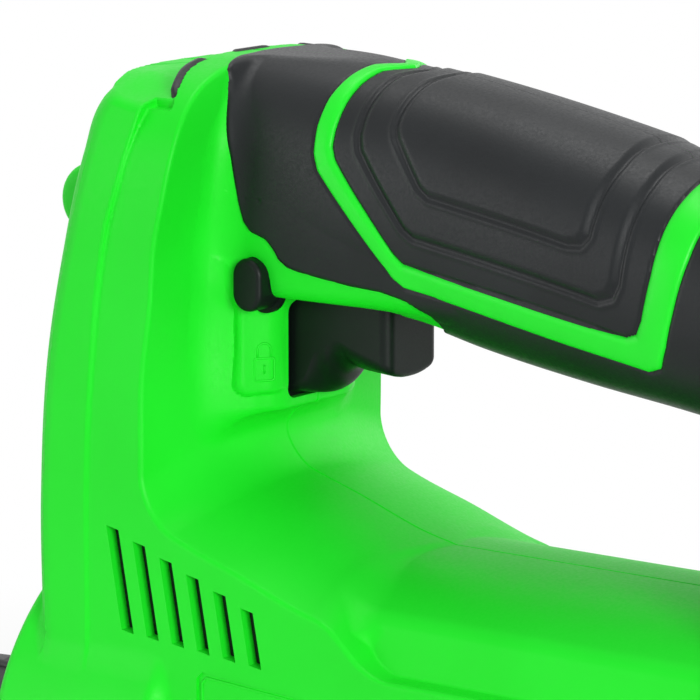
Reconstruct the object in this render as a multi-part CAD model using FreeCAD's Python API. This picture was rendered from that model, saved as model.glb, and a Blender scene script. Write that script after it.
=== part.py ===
import FreeCAD, Part

import math
import os

from FreeCAD import Vector

# A cordless leaf blower with a D-shaped handle.  Millimetres, +Z up, -X towards the nozzle,
# +Y to the user's right-hand side of the mid-plane.  The origin lies on the sole that the blower
# stands on, under the middle of the body.

os.makedirs("parts", exist_ok=True)

# ---------------------------------------------------------------- shared clearances and walls
WALL = 2.5            # moulded housing wall
SEAT = 0.3            # gap round a piece that is seated in another
RUN = 0.03            # radial running clearance of a turning shaft
SLIDE = 0.4           # clearance each side of a moving button or trigger
GRIP_T = 1.8          # thickness of the soft grip moulded over the handle
TINY = 0.05           # least gap between two round pieces that are pressed together

# ---------------------------------------------------------------- air duct, nozzle and motor
AXIS_Z = 53.0         # height of the air duct's axis above the ground
DUCT_R = 38.5         # inside radius of the air duct
DUCT_T = 2.0          # wall of the air duct
DUCT_FRONT = -98.0
DUCT_REAR = 40.0
BODY_R = 44.0         # radius of the round lower body
SHROUD_R = 48.0       # radius of the front shroud, top and bottom
SHROUD_TOP_Z = 83.0   # height of the centre of the shroud's upper arc
SHROUD_FRONT = -108.0
SHROUD_REAR = -68.0
SHROUD_EDGE = 4.0     # rounding of the shroud's front rim
BODY_REAR = 98.0      # rear face of the body, where the battery slides on

COLLAR_R = 43.0       # flange of the nozzle collar
COLLAR_FLANGE = 3.5
COLLAR_REACH = 18.0   # how far the collar stands out in front of the shroud
COLLAR_T = 3.2        # wall of the collar round the nozzle's spigot
COLLAR_FOOT = 9.0     # length of the collar inside the shroud
SPIGOT_R = 36.8       # outside radius of the nozzle's root
NOZZLE_T = 2.0        # wall of the nozzle
SPIGOT_LEN = 24.0
LUG_H = 1.5           # height of the nozzle's two bayonet lugs
LUG_LEN = 5.0
LUG_HALF = 9.0        # half the angle that a lug covers, degrees
TWIST = 30.0          # turn of the nozzle in its bayonet, degrees
RING_R = 42.0         # ribbed ring that the hand turns the nozzle by
RING_LEN = 14.0
RING_RIBS = 30
RIB_R = 1.0
TUBE_R0 = 39.0        # tapered nozzle tube, large end
TUBE_R1 = 31.0        # and small end
TUBE_LEN = 170.0
TIP_SOCKET = 26.0     # overlap of the nozzle tip on the tube
TIP_R1 = 27.5         # nozzle tip at its mouth
TIP_LEN = 150.0
MOUTH_LEN = 32.0      # straight stretch at the mouth

HUB_R = 24.5          # guide-vane hub round the motor
MOTOR_R = 22.0
MOTOR_T = 1.6
MOTOR_FRONT = -45.0
MOTOR_REAR = 8.0
CONE_LEN = 30.0
CONE_R = 9.0
VANES = 7
VANE_T = 1.6
VANE_LEN = 26.0
VANE_PITCH = 12.0
SHAFT_R = 2.5
BEARING_R = 6.5
BEARING_W = 5.0
MAGNET_T = 4.0
MAGNET_LEN = 32.0
MAGNET_ANGLE = 150.0
AIR_GAP = 0.6
POLES = 5
COMMUTATOR_LEN = 5.0
FAN_BLADES = 9
FAN_HUB_R = 19.0
FAN_LEN = 20.0
FAN_GAP = 0.7
BLADE_T = 1.8
BLADE_PITCH = 42.0
FAN_FROM_MOTOR = 5.0
NUT_R = 4.6
NUT_LEN = 4.0

# ---------------------------------------------------------------- body, column and handle
SIDE_W = 39.5         # half the width of the body and front column
RAIL_W = 32.0         # half the width at the rail along the roof
RIDGE_Z = 134.0       # top of the body under the hand opening
RAIL_Z = 126.0
SHOULDER_Z = 118.0
ROOF_FRONT = -90.0
DOME_W = 20.0
DOME_SHOULDER_Z = 206.0
DOME_MID_Z = 217.0
DOME_MID_W = 33.5
DOME_EDGE_Z = 221.5
DOME_Z = 223.5
DOME_SPARE = 2.0      # the dome's outline starts this far outside the column's sides
COLUMN_BULGE = 4.0    # how far the column's front and rear faces bow out
COLUMN_CORNER = 8.0
COLUMN_HEEL = 5.0
# height, front and rear of the column on the mid-plane
COLUMN = [
    (70.0, -107.5, -68.4),
    (100.0, -107.8, -68.4),
    (122.0, -109.5, -68.4),
    (140.0, -109.5, -68.0),
    (169.0, -107.1, -67.0),
    (193.0, -102.0, -66.0),
    (210.0, -96.3, -66.0),
    (226.0, -93.0, -66.0),
]
# station, top, bottom and half width of the handle
HANDLE = [
    (-82.0, 224.5, 184.0, 17.5),
    (-68.0, 228.4, 182.0, 19.5),
    (-48.0, 227.6, 181.0, 19.0),
    (-28.0, 225.4, 178.6, 19.0),
    (-12.0, 222.6, 174.8, 19.0),
    (10.0, 218.3, 171.4, 19.5),
    (34.0, 212.6, 168.4, 19.5),
    (58.0, 205.6, 165.0, 19.5),
    (80.0, 198.0, 160.0, 19.0),
]
HANDLE_POWER = 2.4    # 2 is an ellipse, more is squarer
HANDLE_POINTS = 28
GRIP_FRONT = -67.0
GRIP_REAR = 50.0
BAR_REAR = -29.0      # the green bar over the trigger ends here
BAR_Z = 187.5
BAR_FRONT_X = -54.0   # and is taller in front of this, round the lock button
BAR_FRONT_Z = 194.0
# height, front, rear and half width of the rear column
TAIL = [
    (90.0, 50.0, 98.0, 38.0),
    (128.0, 56.0, 98.0, 34.0),
    (150.0, 57.0, 98.0, 29.0),
    (170.0, 58.0, 97.5, 26.0),
    (188.0, 60.0, 94.0, 22.0),
]
TAIL_CORNER = 9.0
TAIL_BULGE = 3.0

POD_REAR = -60.0      # plane of the rim round the trigger
POD_FRONT = -80.0
POD_SHOULDER = -66.0
POD_W = 20.0
POD_RIM_W = 11.5
POD_Z = 158.0
POD_TOP = 196.0
LIP_T = 2.5

CHEEK_REAR = -49.0    # the broad block between handle and pod that the lock button is set in
CHEEK_W = 19.5
CHEEK_Z = 175.0
CHEEK_TOP = 196.0

BUMP_R = 9.0          # small rounded boss on the column's brow
BUMP_X = -100.0
BUMP_Z = 199.0
BUMP_W = 12.0

SKID_X = 78.0         # flat skid under the body
SKID_W = 27.0
SKID_Z = 3.0
SOLE_EDGE = 1.0

# ---------------------------------------------------------------- controls
PIVOT_X = -63.6
PIVOT_Z = 165.4
PIVOT_R = 1.5
TRIGGER_W = 8.4       # half the trigger's width
TRIGGER_REAR = -36.2
TRIGGER_TOP = 192.0
TRIGGER_TURN = 10.0   # degrees
TRIGGER_ROUND = 2.5
GUIDE_T = 1.5

LOCK_X = -60.5
LOCK_Z = 185.0
LOCK_W = 7.0          # button is an upright oval
LOCK_H = 10.5
LOCK_OUT = 3.2        # how far it stands out of the pod
LOCK_TRAVEL = 2.5
LOCK_FLANGE = 1.3
LOCK_RIM = 1.0        # how far the flange spreads round the button

DIAL_X = -80.0
DIAL_Z = 214.5
DIAL_R = 14.2
DIAL_T = 8.0
DIAL_HUB_R = 3.0
KNURLS = 24
KNURL_R = 0.9
POT_W = 9.0
POT_T = 6.0

VENTS = 6
VENT_X = -80.8        # top front corner of the first slot
VENT_Z = 137.5
VENT_STEP_X = 6.7
VENT_STEP_Z = -2.36
VENT_W = 3.1
VENT_FIRST = 21.7     # height of the first slot
VENT_LAST = 12.2
VENT_LEAN = 0.17      # rearward shift per unit of drop
VENT_SLANT = 1.0      # fall of a slot's ends across its width

LABEL_X0 = -57.0
LABEL_X1 = -23.0
LABEL_Z0 = 98.0
LABEL_Z1 = 111.0
LABEL_DEPTH = 0.6

# ---------------------------------------------------------------- intake, battery
INTAKE_X0 = 44.0
INTAKE_X1 = 88.0
INTAKE_Z0 = 26.0
INTAKE_Z1 = 80.0
INTAKE_SLOT = 3.4
INTAKE_RIB = 2.6
INTAKE_EDGE = 4.0

SHOE_T = 3.0
SHOE_W = 30.0
SHOE_Z0 = 54.0
SHOE_Z1 = 164.0
RAIL_IN = 20.0        # half the gap between the two battery rails
RAIL_T = 3.5
RAIL_OUT = 6.0
RAIL_LIP = 3.0
PACK_W = 38.0
PACK_T = 56.0
PACK_Z0 = 46.0
PACK_Z1 = 168.0
PACK_SPLIT = 17.0
PACK_WALL = 2.2
PACK_ROUND = 7.0
CELL_R = 9.2
CELL_LEN = 65.0
CELL_ROWS = 5
CELL_COLUMNS = 2
CELL_PITCH = 19.4
CARRIER_T = 3.0
LATCH_W = 13.0
LATCH_H = 10.0
LATCH_LEN = 18.0
LATCH_UP = 2.6
LATCH_TRAVEL = 3.0
NOSE_W = 8.0
NOSE_H = 4.0
NOSE_OUT = 2.2
GAUGE_R = 4.0
GAUGE_OUT = 0.9
GAUGE_Z = 150.0
GAUGE_TRAVEL = 0.7
LIGHTS = 4
LIGHT_R = 1.4
LIGHT_PITCH = 7.0

# ---------------------------------------------------------------- screws
SCREW_R = 1.6
SCREW_LEN = 24.0
SCREW_HEAD_R = 3.5
SCREW_HEAD_T = 2.4
BOSS_R = 4.2
BOSS_OUT_R = 6.0
# place on the mid-plane and depth of the head's seat
SCREWS = [
    (-92.0, 183.0, 20.0),
    (-86.0, 116.0, 20.0),
    (-2.0, 198.0, 8.0),
    (74.0, 176.5, 8.0),
    (-52.0, 124.0, 17.0),
    (46.0, 104.0, 20.0),
    (84.0, 118.0, 20.0),
]

BOARD_X0 = -36.0
BOARD_X1 = 34.0
BOARD_W = 26.0
BOARD_Z = 101.0
BOARD_T = 1.6

BIG = 400.0


# ================================================================ small helpers
def box(x0, x1, y0, y1, z0, z1):
    return Part.makeBox(x1 - x0, y1 - y0, z1 - z0, Vector(x0, y0, z0))


def rod_x(radius, x0, x1, y=0.0, z=AXIS_Z):
    return Part.makeCylinder(radius, x1 - x0, Vector(x0, y, z), Vector(1, 0, 0))


def rod_y(radius, y0, y1, x, z):
    return Part.makeCylinder(radius, y1 - y0, Vector(x, y0, z), Vector(0, 1, 0))


def cone_x(r0, r1, x0, x1, z=AXIS_Z):
    if abs(r0 - r1) < 1e-9:
        return rod_x(r0, x0, x1, 0.0, z)
    return Part.makeCone(r0, r1, x1 - x0, Vector(x0, 0, z), Vector(1, 0, 0))


def prism_y(points, y0, y1):
    corners = [Vector(x, y0, z) for x, z in points]
    face = Part.Face(Part.makePolygon(corners + corners[:1]))
    return face.extrude(Vector(0, y1 - y0, 0))


def prism_x(points, x0, x1):
    corners = [Vector(x0, y, z) for y, z in points]
    face = Part.Face(Part.makePolygon(corners + corners[:1]))
    return face.extrude(Vector(x1 - x0, 0, 0))


def prism_z(points, z0, z1):
    corners = [Vector(x, y, z0) for x, y in points]
    face = Part.Face(Part.makePolygon(corners + corners[:1]))
    return face.extrude(Vector(0, 0, z1 - z0))


def arc(a, b, c):
    return Part.Arc(Vector(*a), Vector(*b), Vector(*c)).toShape()


def line(a, b):
    return Part.makeLine(Vector(*a), Vector(*b))


def joined(shapes):
    whole = shapes[0]
    if len(shapes) > 1:
        whole = whole.fuse(shapes[1:])
    return whole.removeSplitter()


def rounded(shape, radius, wanted):
    edges = [e for e in shape.Edges if wanted(e)]
    return shape.makeFillet(radius, edges) if edges else shape


def along(edge, axis):
    ends = [v.Point for v in edge.Vertexes]
    if len(ends) < 2:
        return False
    run = ends[1] - ends[0]
    size = [abs(run.x), abs(run.y), abs(run.z)]
    return size["xyz".index(axis)] > 0.99 * run.Length and run.Length > 0


def at(edge, axis, value):
    return all(abs(getattr(v.Point, axis) - value) < 1e-6 for v in edge.Vertexes)


def turned(shape, degrees, centre=Vector(0, 0, AXIS_Z), axis=Vector(1, 0, 0)):
    copy = shape.copy()
    copy.rotate(centre, axis, degrees)
    return copy


def coil(radius, wire_r, length, turns, foot, direction):
    """A compression spring: a round wire carried along a helix."""
    helix = Part.makeHelix((length - 2 * wire_r) / turns, length - 2 * wire_r, radius)
    start = helix.Vertexes[0].Point
    ring = Part.Wire(Part.makeCircle(wire_r, start, Vector(0, 1, 0)))
    spring = Part.Wire(helix).makePipeShell([ring], True, True)
    spring.translate(Vector(0, 0, wire_r))
    turn = FreeCAD.Rotation(Vector(0, 0, 1), direction)
    spring.Placement = FreeCAD.Placement(foot, turn).multiply(spring.Placement)
    return spring


def save(name, shape):
    solids = shape.Solids
    shape = solids[0] if len(solids) == 1 else Part.makeCompound(solids)
    shape.exportStep("parts/%s.step" % name)
    volume = sum(s.Volume for s in solids)
    print("%-22s solids %2d  valid %s  volume %9.1f" % (name, len(solids), shape.isValid(), volume))


# ================================================================ the housing's outer form
def column_section(z, front, rear, width):
    """One level section of a column: bowed front and rear faces joined by round corners."""
    nose = front + COLUMN_BULGE
    heel = rear - COLUMN_BULGE
    soft = 1.0 - math.sqrt(0.5)
    a, b = COLUMN_CORNER, COLUMN_HEEL
    edges = [
        arc((nose, a - width, z), (front, 0, z), (nose, width - a, z)),
        arc((nose, width - a, z), (nose + a * soft, width - a * soft, z), (nose + a, width, z)),
        line((nose + a, width, z), (heel - b, width, z)),
        arc((heel - b, width, z), (heel - b * soft, width - b * soft, z), (heel, width - b, z)),
        arc((heel, width - b, z), (rear, 0, z), (heel, b - width, z)),
        arc((heel, b - width, z), (heel - b * soft, b * soft - width, z), (heel - b, -width, z)),
        line((heel - b, -width, z), (nose + a, -width, z)),
        arc((nose + a, -width, z), (nose + a * soft, a * soft - width, z), (nose, a - width, z)),
    ]
    return Part.Wire(edges)


def column(inset):
    """The front column, lofted through its level sections and trimmed by its domed top."""
    wires = [
        column_section(z, front + inset, rear - inset, SIDE_W - inset) for z, front, rear in COLUMN
    ]
    body = Part.makeLoft(wires, True, True)
    dome = [(SIDE_W + DOME_SPARE, DOME_SHOULDER_Z), (DOME_MID_W, DOME_MID_Z), (DOME_W, DOME_EDGE_Z)]
    slope = [(y, z - inset) for y, z in dome]
    top = [(0.0, DOME_Z - inset)]
    mirror = [(-y, z) for y, z in reversed(slope)]
    spare = SIDE_W + DOME_SPARE
    return body.common(prism_x([(-spare, 0.0), (spare, 0.0)] + slope + top + mirror, -BIG, BIG))


def oval_section(x, top, bottom, width):
    """An upright superellipse across the handle."""
    middle, height = (top + bottom) / 2, (top - bottom) / 2
    points = []
    for i in range(HANDLE_POINTS):
        angle = 2 * math.pi * i / HANDLE_POINTS
        c, s = math.cos(angle), math.sin(angle)
        y = width * math.copysign(abs(c) ** (2 / HANDLE_POWER), c)
        z = height * math.copysign(abs(s) ** (2 / HANDLE_POWER), s)
        points.append(Vector(x, y, middle + z))
    curve = Part.BSplineCurve()
    curve.interpolate(Points=points, PeriodicFlag=True)
    return Part.Wire(curve.toShape())


def handle(inset):
    wires = [oval_section(x, t - inset, b + inset, w - inset) for x, t, b, w in HANDLE]
    return Part.makeLoft(wires, True, False)


def tail(inset):
    """The rear column, lofted through level rounded rectangles."""
    wires = []
    for z, front, rear, width in TAIL:
        x0, x1, w, r = front + inset, rear - inset, width - inset, TAIL_CORNER
        soft = r * (1.0 - math.sqrt(0.5))
        bow = x0 + TAIL_BULGE
        wires.append(Part.Wire([
            line((x1, w, z), (bow + r, w, z)),
            arc((bow + r, w, z), (bow + soft, w - soft, z), (bow, w - r, z)),
            arc((bow, w - r, z), (x0, 0, z), (bow, r - w, z)),
            arc((bow, r - w, z), (bow + soft, soft - w, z), (bow + r, -w, z)),
            line((bow + r, -w, z), (x1, -w, z)),
            line((x1, -w, z), (x1, w, z)),
        ]))
    return Part.makeLoft(wires, True, True)


def trunk(inset):
    """The long body: straight sides under a low roof whose foot is the rail."""
    side, rail = SIDE_W - inset, RAIL_W - inset
    outline = [
        (0.0, RIDGE_Z - inset),
        (rail, RAIL_Z - inset),
        (side, SHOULDER_Z - inset),
        (side, AXIS_Z),
        (-side, AXIS_Z),
        (-side, SHOULDER_Z - inset),
        (-rail, RAIL_Z - inset),
    ]
    return prism_x(outline, ROOF_FRONT, BODY_REAR - inset)


def shroud(inset):
    """The tall oblong front of the body, which surrounds the air outlet."""
    r = SHROUD_R - inset
    front, rear = SHROUD_FRONT + inset, SHROUD_REAR - inset
    form = joined([
        rod_x(r, front, rear),
        rod_x(r, front, rear, 0.0, SHROUD_TOP_Z),
        box(front, rear, -r, r, AXIS_Z, SHROUD_TOP_Z),
    ])
    if inset == 0:
        form = rounded(form, SHROUD_EDGE, lambda e: at(e, "x", front))
    return form


def pod(inset):
    """The block under the front of the handle that holds the trigger and the lock button."""
    plan = [
        (POD_FRONT, inset - POD_W),
        (POD_SHOULDER, inset - POD_W),
        (POD_REAR - inset, inset - POD_RIM_W),
        (POD_REAR - inset, POD_RIM_W - inset),
        (POD_SHOULDER, POD_W - inset),
        (POD_FRONT, POD_W - inset),
    ]
    return prism_z(plan, POD_Z + inset, POD_TOP)


def cheek(inset):
    """The broad block above the pod, level with the handle's sides."""
    w = CHEEK_W - inset
    form = box(POD_FRONT, CHEEK_REAR - inset, -w, w, CHEEK_Z + inset, CHEEK_TOP)
    if inset == 0:
        form = rounded(form, 3.0, lambda e: along(e, "x") and at(e, "z", CHEEK_Z))
    return form


def envelope(inset, handle_inset):
    """The whole outside of the housing, or with an inset the space inside it."""
    parts = [
        column(inset),
        handle(handle_inset),
        tail(inset),
        trunk(inset),
        rod_x(BODY_R - inset, SHROUD_FRONT + WALL + inset, BODY_REAR - inset),
        shroud(inset),
        pod(inset),
        cheek(inset),
    ]
    return joined(parts)


# ================================================================ openings cut in the housing
def vent_slots(side):
    """Six leaning slots, shorter towards the rear, through one side wall."""
    slots = []
    for i in range(VENTS):
        x = VENT_X + i * VENT_STEP_X
        top = VENT_Z + i * VENT_STEP_Z
        height = VENT_FIRST + (VENT_LAST - VENT_FIRST) * i / (VENTS - 1)
        foot = x + VENT_LEAN * height
        corners = [(x, top), (x + VENT_W, top - VENT_SLANT),
                   (foot + VENT_W, top - height - VENT_SLANT), (foot, top - height)]
        y0, y1 = (-SIDE_W - 1, -SIDE_W + 3 * WALL) if side < 0 else (SIDE_W - 3 * WALL, SIDE_W + 1)
        slots.append(prism_y(corners, y0, y1))
    return slots


def intake_window(gap):
    return [(INTAKE_X0 + gap, INTAKE_X1 - gap), (INTAKE_Z0 + gap, INTAKE_Z1 - gap)]


def housing():
    """Both halves of the housing, each with its ribs and screw bosses."""
    outer = envelope(0.0, 0.0)
    inner = envelope(WALL, WALL + GRIP_T)
    shell = outer.cut(inner)

    # skid under the body
    skid = box(-SKID_X, SKID_X, -SKID_W, SKID_W, SKID_Z, AXIS_Z - BODY_R + WALL + 1)
    skid = skid.cut(rod_x(BODY_R - WALL, -BIG, BIG))
    # boss on the brow
    bump = rod_y(BUMP_R, -BUMP_W, BUMP_W, BUMP_X, BUMP_Z).cut(column(WALL))

    # ribs that carry the air duct, the trigger, the dial and the control board
    duct_hole = rod_x(DUCT_R + DUCT_T + SEAT, -BIG, BIG)
    ribs = []
    for x in (DUCT_FRONT + 6, -30.0, DUCT_REAR - 8):
        web = box(x, x + WALL, -BIG, BIG, 0, BOARD_Z - SEAT)
        ribs.append(web.common(inner).cut(duct_hole))
    for y in (-TRIGGER_W - SLIDE - GUIDE_T, TRIGGER_W + SLIDE):
        guide = box(POD_FRONT + 8, POD_REAR, y, y + GUIDE_T, POD_Z, LOCK_Z + LOCK_H)
        ribs.append(guide.common(outer))
    ribs.append(box(DIAL_X - 9, DIAL_X + 9, DIAL_T / 2 + POT_T + 2 * SEAT, DIAL_T / 2 + POT_T + 3,
                    DIAL_Z - 22, DIAL_Z + 12).common(inner))

    # screw bosses
    holes = []
    for x, z, depth in SCREWS:
        ribs.append(rod_y(BOSS_R, -BIG, 0, x, z).common(inner))
        ribs.append(rod_y(BOSS_OUT_R, 0, BIG, x, z).common(inner))
        holes.append(rod_y(SCREW_R + TINY, depth - SCREW_LEN - 1, 0, x, z))
        holes.append(rod_y(SCREW_R + SEAT, 0, depth, x, z))
        holes.append(rod_y(SCREW_HEAD_R + SEAT, depth, BIG, x, z))

    whole = joined([shell, skid, bump] + ribs)

    # openings
    cuts = list(holes)
    cuts.append(rod_x(DUCT_R + COLLAR_T - 1.0 + SEAT, SHROUD_FRONT - 1, SHROUD_FRONT + WALL + 1))
    cuts.append(box(POD_SHOULDER - 6, POD_REAR + 1, -TRIGGER_W - SLIDE, TRIGGER_W + SLIDE,
                    POD_Z + LIP_T, POD_TOP))
    cuts.append(box(POD_REAR - 4, TRIGGER_REAR + 0.8, -TRIGGER_W - SLIDE, TRIGGER_W + SLIDE,
                    POD_Z + LIP_T, BAR_Z + 10))
    cuts.append(rod_y(PIVOT_R + RUN, -TRIGGER_W - SLIDE - GUIDE_T - 1, TRIGGER_W + SLIDE + GUIDE_T + 1,
                      PIVOT_X, PIVOT_Z))
    cuts.append(lock_oval(SEAT, -BIG, -TRIGGER_W - SLIDE - GUIDE_T))
    cuts.append(box(DIAL_X - DIAL_R - 1, DIAL_X + DIAL_R + 1, -DIAL_T / 2 - SLIDE,
                    DIAL_T / 2 + SLIDE, DIAL_Z - DIAL_R - 1, DIAL_Z + DIAL_R + 4))
    for side in (-1, 1):
        cuts.extend(vent_slots(side))
        (x0, x1), (z0, z1) = intake_window(0.0)
        far = side * (BODY_R + 2)
        near = side * (BODY_R - 22)
        cuts.append(box(x0, x1, min(near, far), max(near, far), z0, z1))
        y_out, y_in = side * (SIDE_W + 1), side * (SIDE_W - LABEL_DEPTH)
        cuts.append(box(LABEL_X0, LABEL_X1, min(y_out, y_in), max(y_out, y_in),
                        LABEL_Z0, LABEL_Z1))
    cuts.append(box(BODY_REAR - WALL - 1, BODY_REAR + 1, -15, 15, 128, 152))
    whole = whole.cut(cuts)
    grips = grip_ring()
    whole = whole.cut(grips)
    left = largest(whole.common(box(-BIG, BIG, -BIG, 0, -BIG, BIG)))
    right = largest(whole.common(box(-BIG, BIG, 0, BIG, -BIG, BIG)))
    return left, right


def largest(shape):
    return max(shape.Solids, key=lambda s: s.Volume)


def grip_ring():
    """The soft skin round the handle, between the column and the rear column."""
    ring = handle(0.0).cut(handle(GRIP_T))
    bar = box(GRIP_FRONT - 20, BAR_REAR, -BIG, BIG, 0, BAR_Z)
    block = box(GRIP_FRONT - 20, BAR_FRONT_X, -BIG, BIG, 0, BAR_FRONT_Z)
    ring = ring.common(box(GRIP_FRONT, GRIP_REAR, -BIG, BIG, 0, BIG))
    return largest(ring.cut([bar, block, column(0.0), pod(0.0), cheek(0.0)]))


def lock_oval(gap, y0, y1):
    """The upright oval of the lock button, from y0 to y1."""
    r = LOCK_W / 2 + gap
    rise = (LOCK_H - LOCK_W) / 2
    return joined([
        rod_y(r, y0, y1, LOCK_X, LOCK_Z + rise),
        rod_y(r, y0, y1, LOCK_X, LOCK_Z - rise),
        box(LOCK_X - r, LOCK_X + r, y0, y1, LOCK_Z - rise, LOCK_Z + rise),
    ])


# ================================================================ controls in the handle
def trigger():
    """The rocking finger trigger: a toe at its pivot, a hollow for the finger and a rear lobe."""
    toe_z = POD_Z + LIP_T + SLIDE
    outline = [
        (PIVOT_X - 2.2, toe_z),
        (POD_REAR + 5.5, toe_z),
        (POD_REAR + 8.0, toe_z + 2.4),
        (POD_REAR + 9.2, toe_z + 4.6),
        (POD_REAR + 12.0, toe_z + 5.8),
        (POD_REAR + 19.0, toe_z + 5.4),
        (TRIGGER_REAR - 2.0, toe_z + 6.6),
        (TRIGGER_REAR, toe_z + 9.0),
        (TRIGGER_REAR, TRIGGER_TOP),
        (POD_REAR + 1.5, TRIGGER_TOP),
        (POD_REAR + 0.3, PIVOT_Z + 12.0),
        (PIVOT_X - 2.2, PIVOT_Z + 3.0),
    ]
    body = prism_y(outline, -TRIGGER_W, TRIGGER_W)
    low = [e for e in body.Edges
           if e.BoundBox.YLength < 1e-6
           and e.BoundBox.ZMax < toe_z + 9.5
           and e.BoundBox.XMin > PIVOT_X]
    body = body.makeFillet(TRIGGER_ROUND, low)
    return body.cut(rod_y(PIVOT_R + RUN, -BIG, BIG, PIVOT_X, PIVOT_Z))


def lock_button():
    button = lock_oval(0.0, -CHEEK_W - LOCK_OUT, -CHEEK_W + WALL + SEAT)
    button = rounded(button, 1.0, lambda e: at(e, "y", -CHEEK_W - LOCK_OUT))
    flange = lock_oval(LOCK_RIM, -CHEEK_W + WALL + SEAT, -CHEEK_W + WALL + SEAT + LOCK_FLANGE)
    return joined([button, flange])


def speed_dial():
    """A thumb wheel with a knurled rim and a stub shaft."""
    wheel = rod_y(DIAL_R, -DIAL_T / 2, DIAL_T / 2, DIAL_X, DIAL_Z)
    notches = []
    for i in range(KNURLS):
        angle = 2 * math.pi * i / KNURLS
        x = DIAL_X + DIAL_R * math.cos(angle)
        z = DIAL_Z + DIAL_R * math.sin(angle)
        notches.append(rod_y(KNURL_R, -DIAL_T, DIAL_T, x, z))
    shaft = rod_y(DIAL_HUB_R, -DIAL_T / 2, DIAL_T / 2 + POT_T - 1, DIAL_X, DIAL_Z)
    return joined([wheel.cut(notches), shaft])


def potentiometer():
    y0 = DIAL_T / 2 + SEAT
    body = box(DIAL_X - POT_W / 2, DIAL_X + POT_W / 2, y0, y0 + POT_T,
               DIAL_Z - POT_W / 2, DIAL_Z + POT_W / 2)
    return body.cut(rod_y(DIAL_HUB_R + RUN, y0 - 1, DIAL_T / 2 + POT_T - 1 + SEAT, DIAL_X, DIAL_Z))


SWITCH_X0 = -52.0
SWITCH_X1 = -20.0
SWITCH_W = 7.0
SWITCH_Z = 203.0
SWITCH_H = 15.0
SPRING_R = 4.0
SPRING_X = -41.0
WIRE_R = 0.45


def switch_module():
    body = box(SWITCH_X0, SWITCH_X1, -SWITCH_W, SWITCH_W, SWITCH_Z, SWITCH_Z + SWITCH_H)
    body = rounded(body, 0.8, lambda e: along(e, "z"))
    tabs = box(SWITCH_X1, SWITCH_X1 + 5, -4.0, 4.0, SWITCH_Z + 5, SWITCH_Z + 6)
    plunger = rod_y(1.0, -3.0, 3.0, SWITCH_X0 + 4, SWITCH_Z)
    return joined([body, tabs, plunger])


def switch_cradle():
    """A saddle that holds the switch between the handle's walls."""
    saddle = box(SWITCH_X0 + 10, SWITCH_X0 + 13, -BIG, BIG, SWITCH_Z, BIG)
    saddle = saddle.common(handle(WALL + GRIP_T + SEAT))
    gap = box(-BIG, BIG, -SWITCH_W - SEAT, SWITCH_W + SEAT, 0, SWITCH_Z + SWITCH_H + SEAT)
    return saddle.cut(gap)


# ================================================================ air path
def fan_duct():
    """The duct with its guide vanes and the hub that carries the motor, moulded in one."""
    tube = rod_x(DUCT_R + DUCT_T, DUCT_FRONT, DUCT_REAR).cut(rod_x(DUCT_R, -BIG, BIG))
    hub = rod_x(HUB_R, MOTOR_FRONT, MOTOR_REAR).cut(rod_x(MOTOR_R + TINY, -BIG, BIG))
    blade = box(MOTOR_REAR - VANE_LEN - 4, MOTOR_REAR - 4, -VANE_T / 2, VANE_T / 2,
                AXIS_Z + HUB_R - 1, AXIS_Z + DUCT_R + 1)
    middle = Vector(MOTOR_REAR - 4 - VANE_LEN / 2, 0, AXIS_Z)
    blade = turned(blade, VANE_PITCH, middle, Vector(0, 0, 1))
    vanes = [turned(blade, 360.0 * i / VANES) for i in range(VANES)]
    return joined([tube, hub] + vanes)


def motor_can():
    outer = rod_x(MOTOR_R, MOTOR_FRONT + 3, MOTOR_REAR)
    inner = rod_x(MOTOR_R - MOTOR_T, MOTOR_FRONT, MOTOR_REAR - MOTOR_T)
    can = outer.cut(inner)
    seat = rod_x(BEARING_R + 1.5, MOTOR_REAR - BEARING_W, MOTOR_REAR)
    return joined([can, seat]).cut(rod_x(BEARING_R + TINY, MOTOR_REAR - BEARING_W - 1, BIG))


def motor_end_cap():
    cap = rod_x(MOTOR_R, MOTOR_FRONT, MOTOR_FRONT + 3)
    seat = rod_x(BEARING_R + 1.5, MOTOR_FRONT, MOTOR_FRONT + BEARING_W)
    return joined([cap, seat]).cut(rod_x(BEARING_R + TINY, -BIG, BIG))


def bearing(x):
    ring = rod_x(BEARING_R, x, x + BEARING_W).cut(rod_x(SHAFT_R + RUN, -BIG, BIG))
    return rounded(ring, 0.3, lambda e: abs(e.BoundBox.ZLength - 2 * BEARING_R) < 0.01)


def magnets():
    """Two curved magnets lining the can."""
    r = MOTOR_R - MOTOR_T - TINY
    middle = (MOTOR_FRONT + MOTOR_REAR) / 2
    x0, x1 = middle - MAGNET_LEN / 2, middle + MAGNET_LEN / 2
    ring = rod_x(r, x0, x1).cut(rod_x(r - MAGNET_T, -BIG, BIG))
    gap = math.radians((180.0 - MAGNET_ANGLE) / 2)
    reach = MOTOR_R * 2
    y, z = reach * math.cos(gap), reach * math.sin(gap)
    wedge = [(0, AXIS_Z), (y, AXIS_Z + z), (y, AXIS_Z + reach), (-y, AXIS_Z + reach), (-y, AXIS_Z + z)]
    sector = prism_x(wedge, x0 - 1, x1 + 1)
    upper = ring.common(sector)
    return Part.makeCompound([upper.Solids[0], turned(upper, 180.0).Solids[0]])


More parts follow.
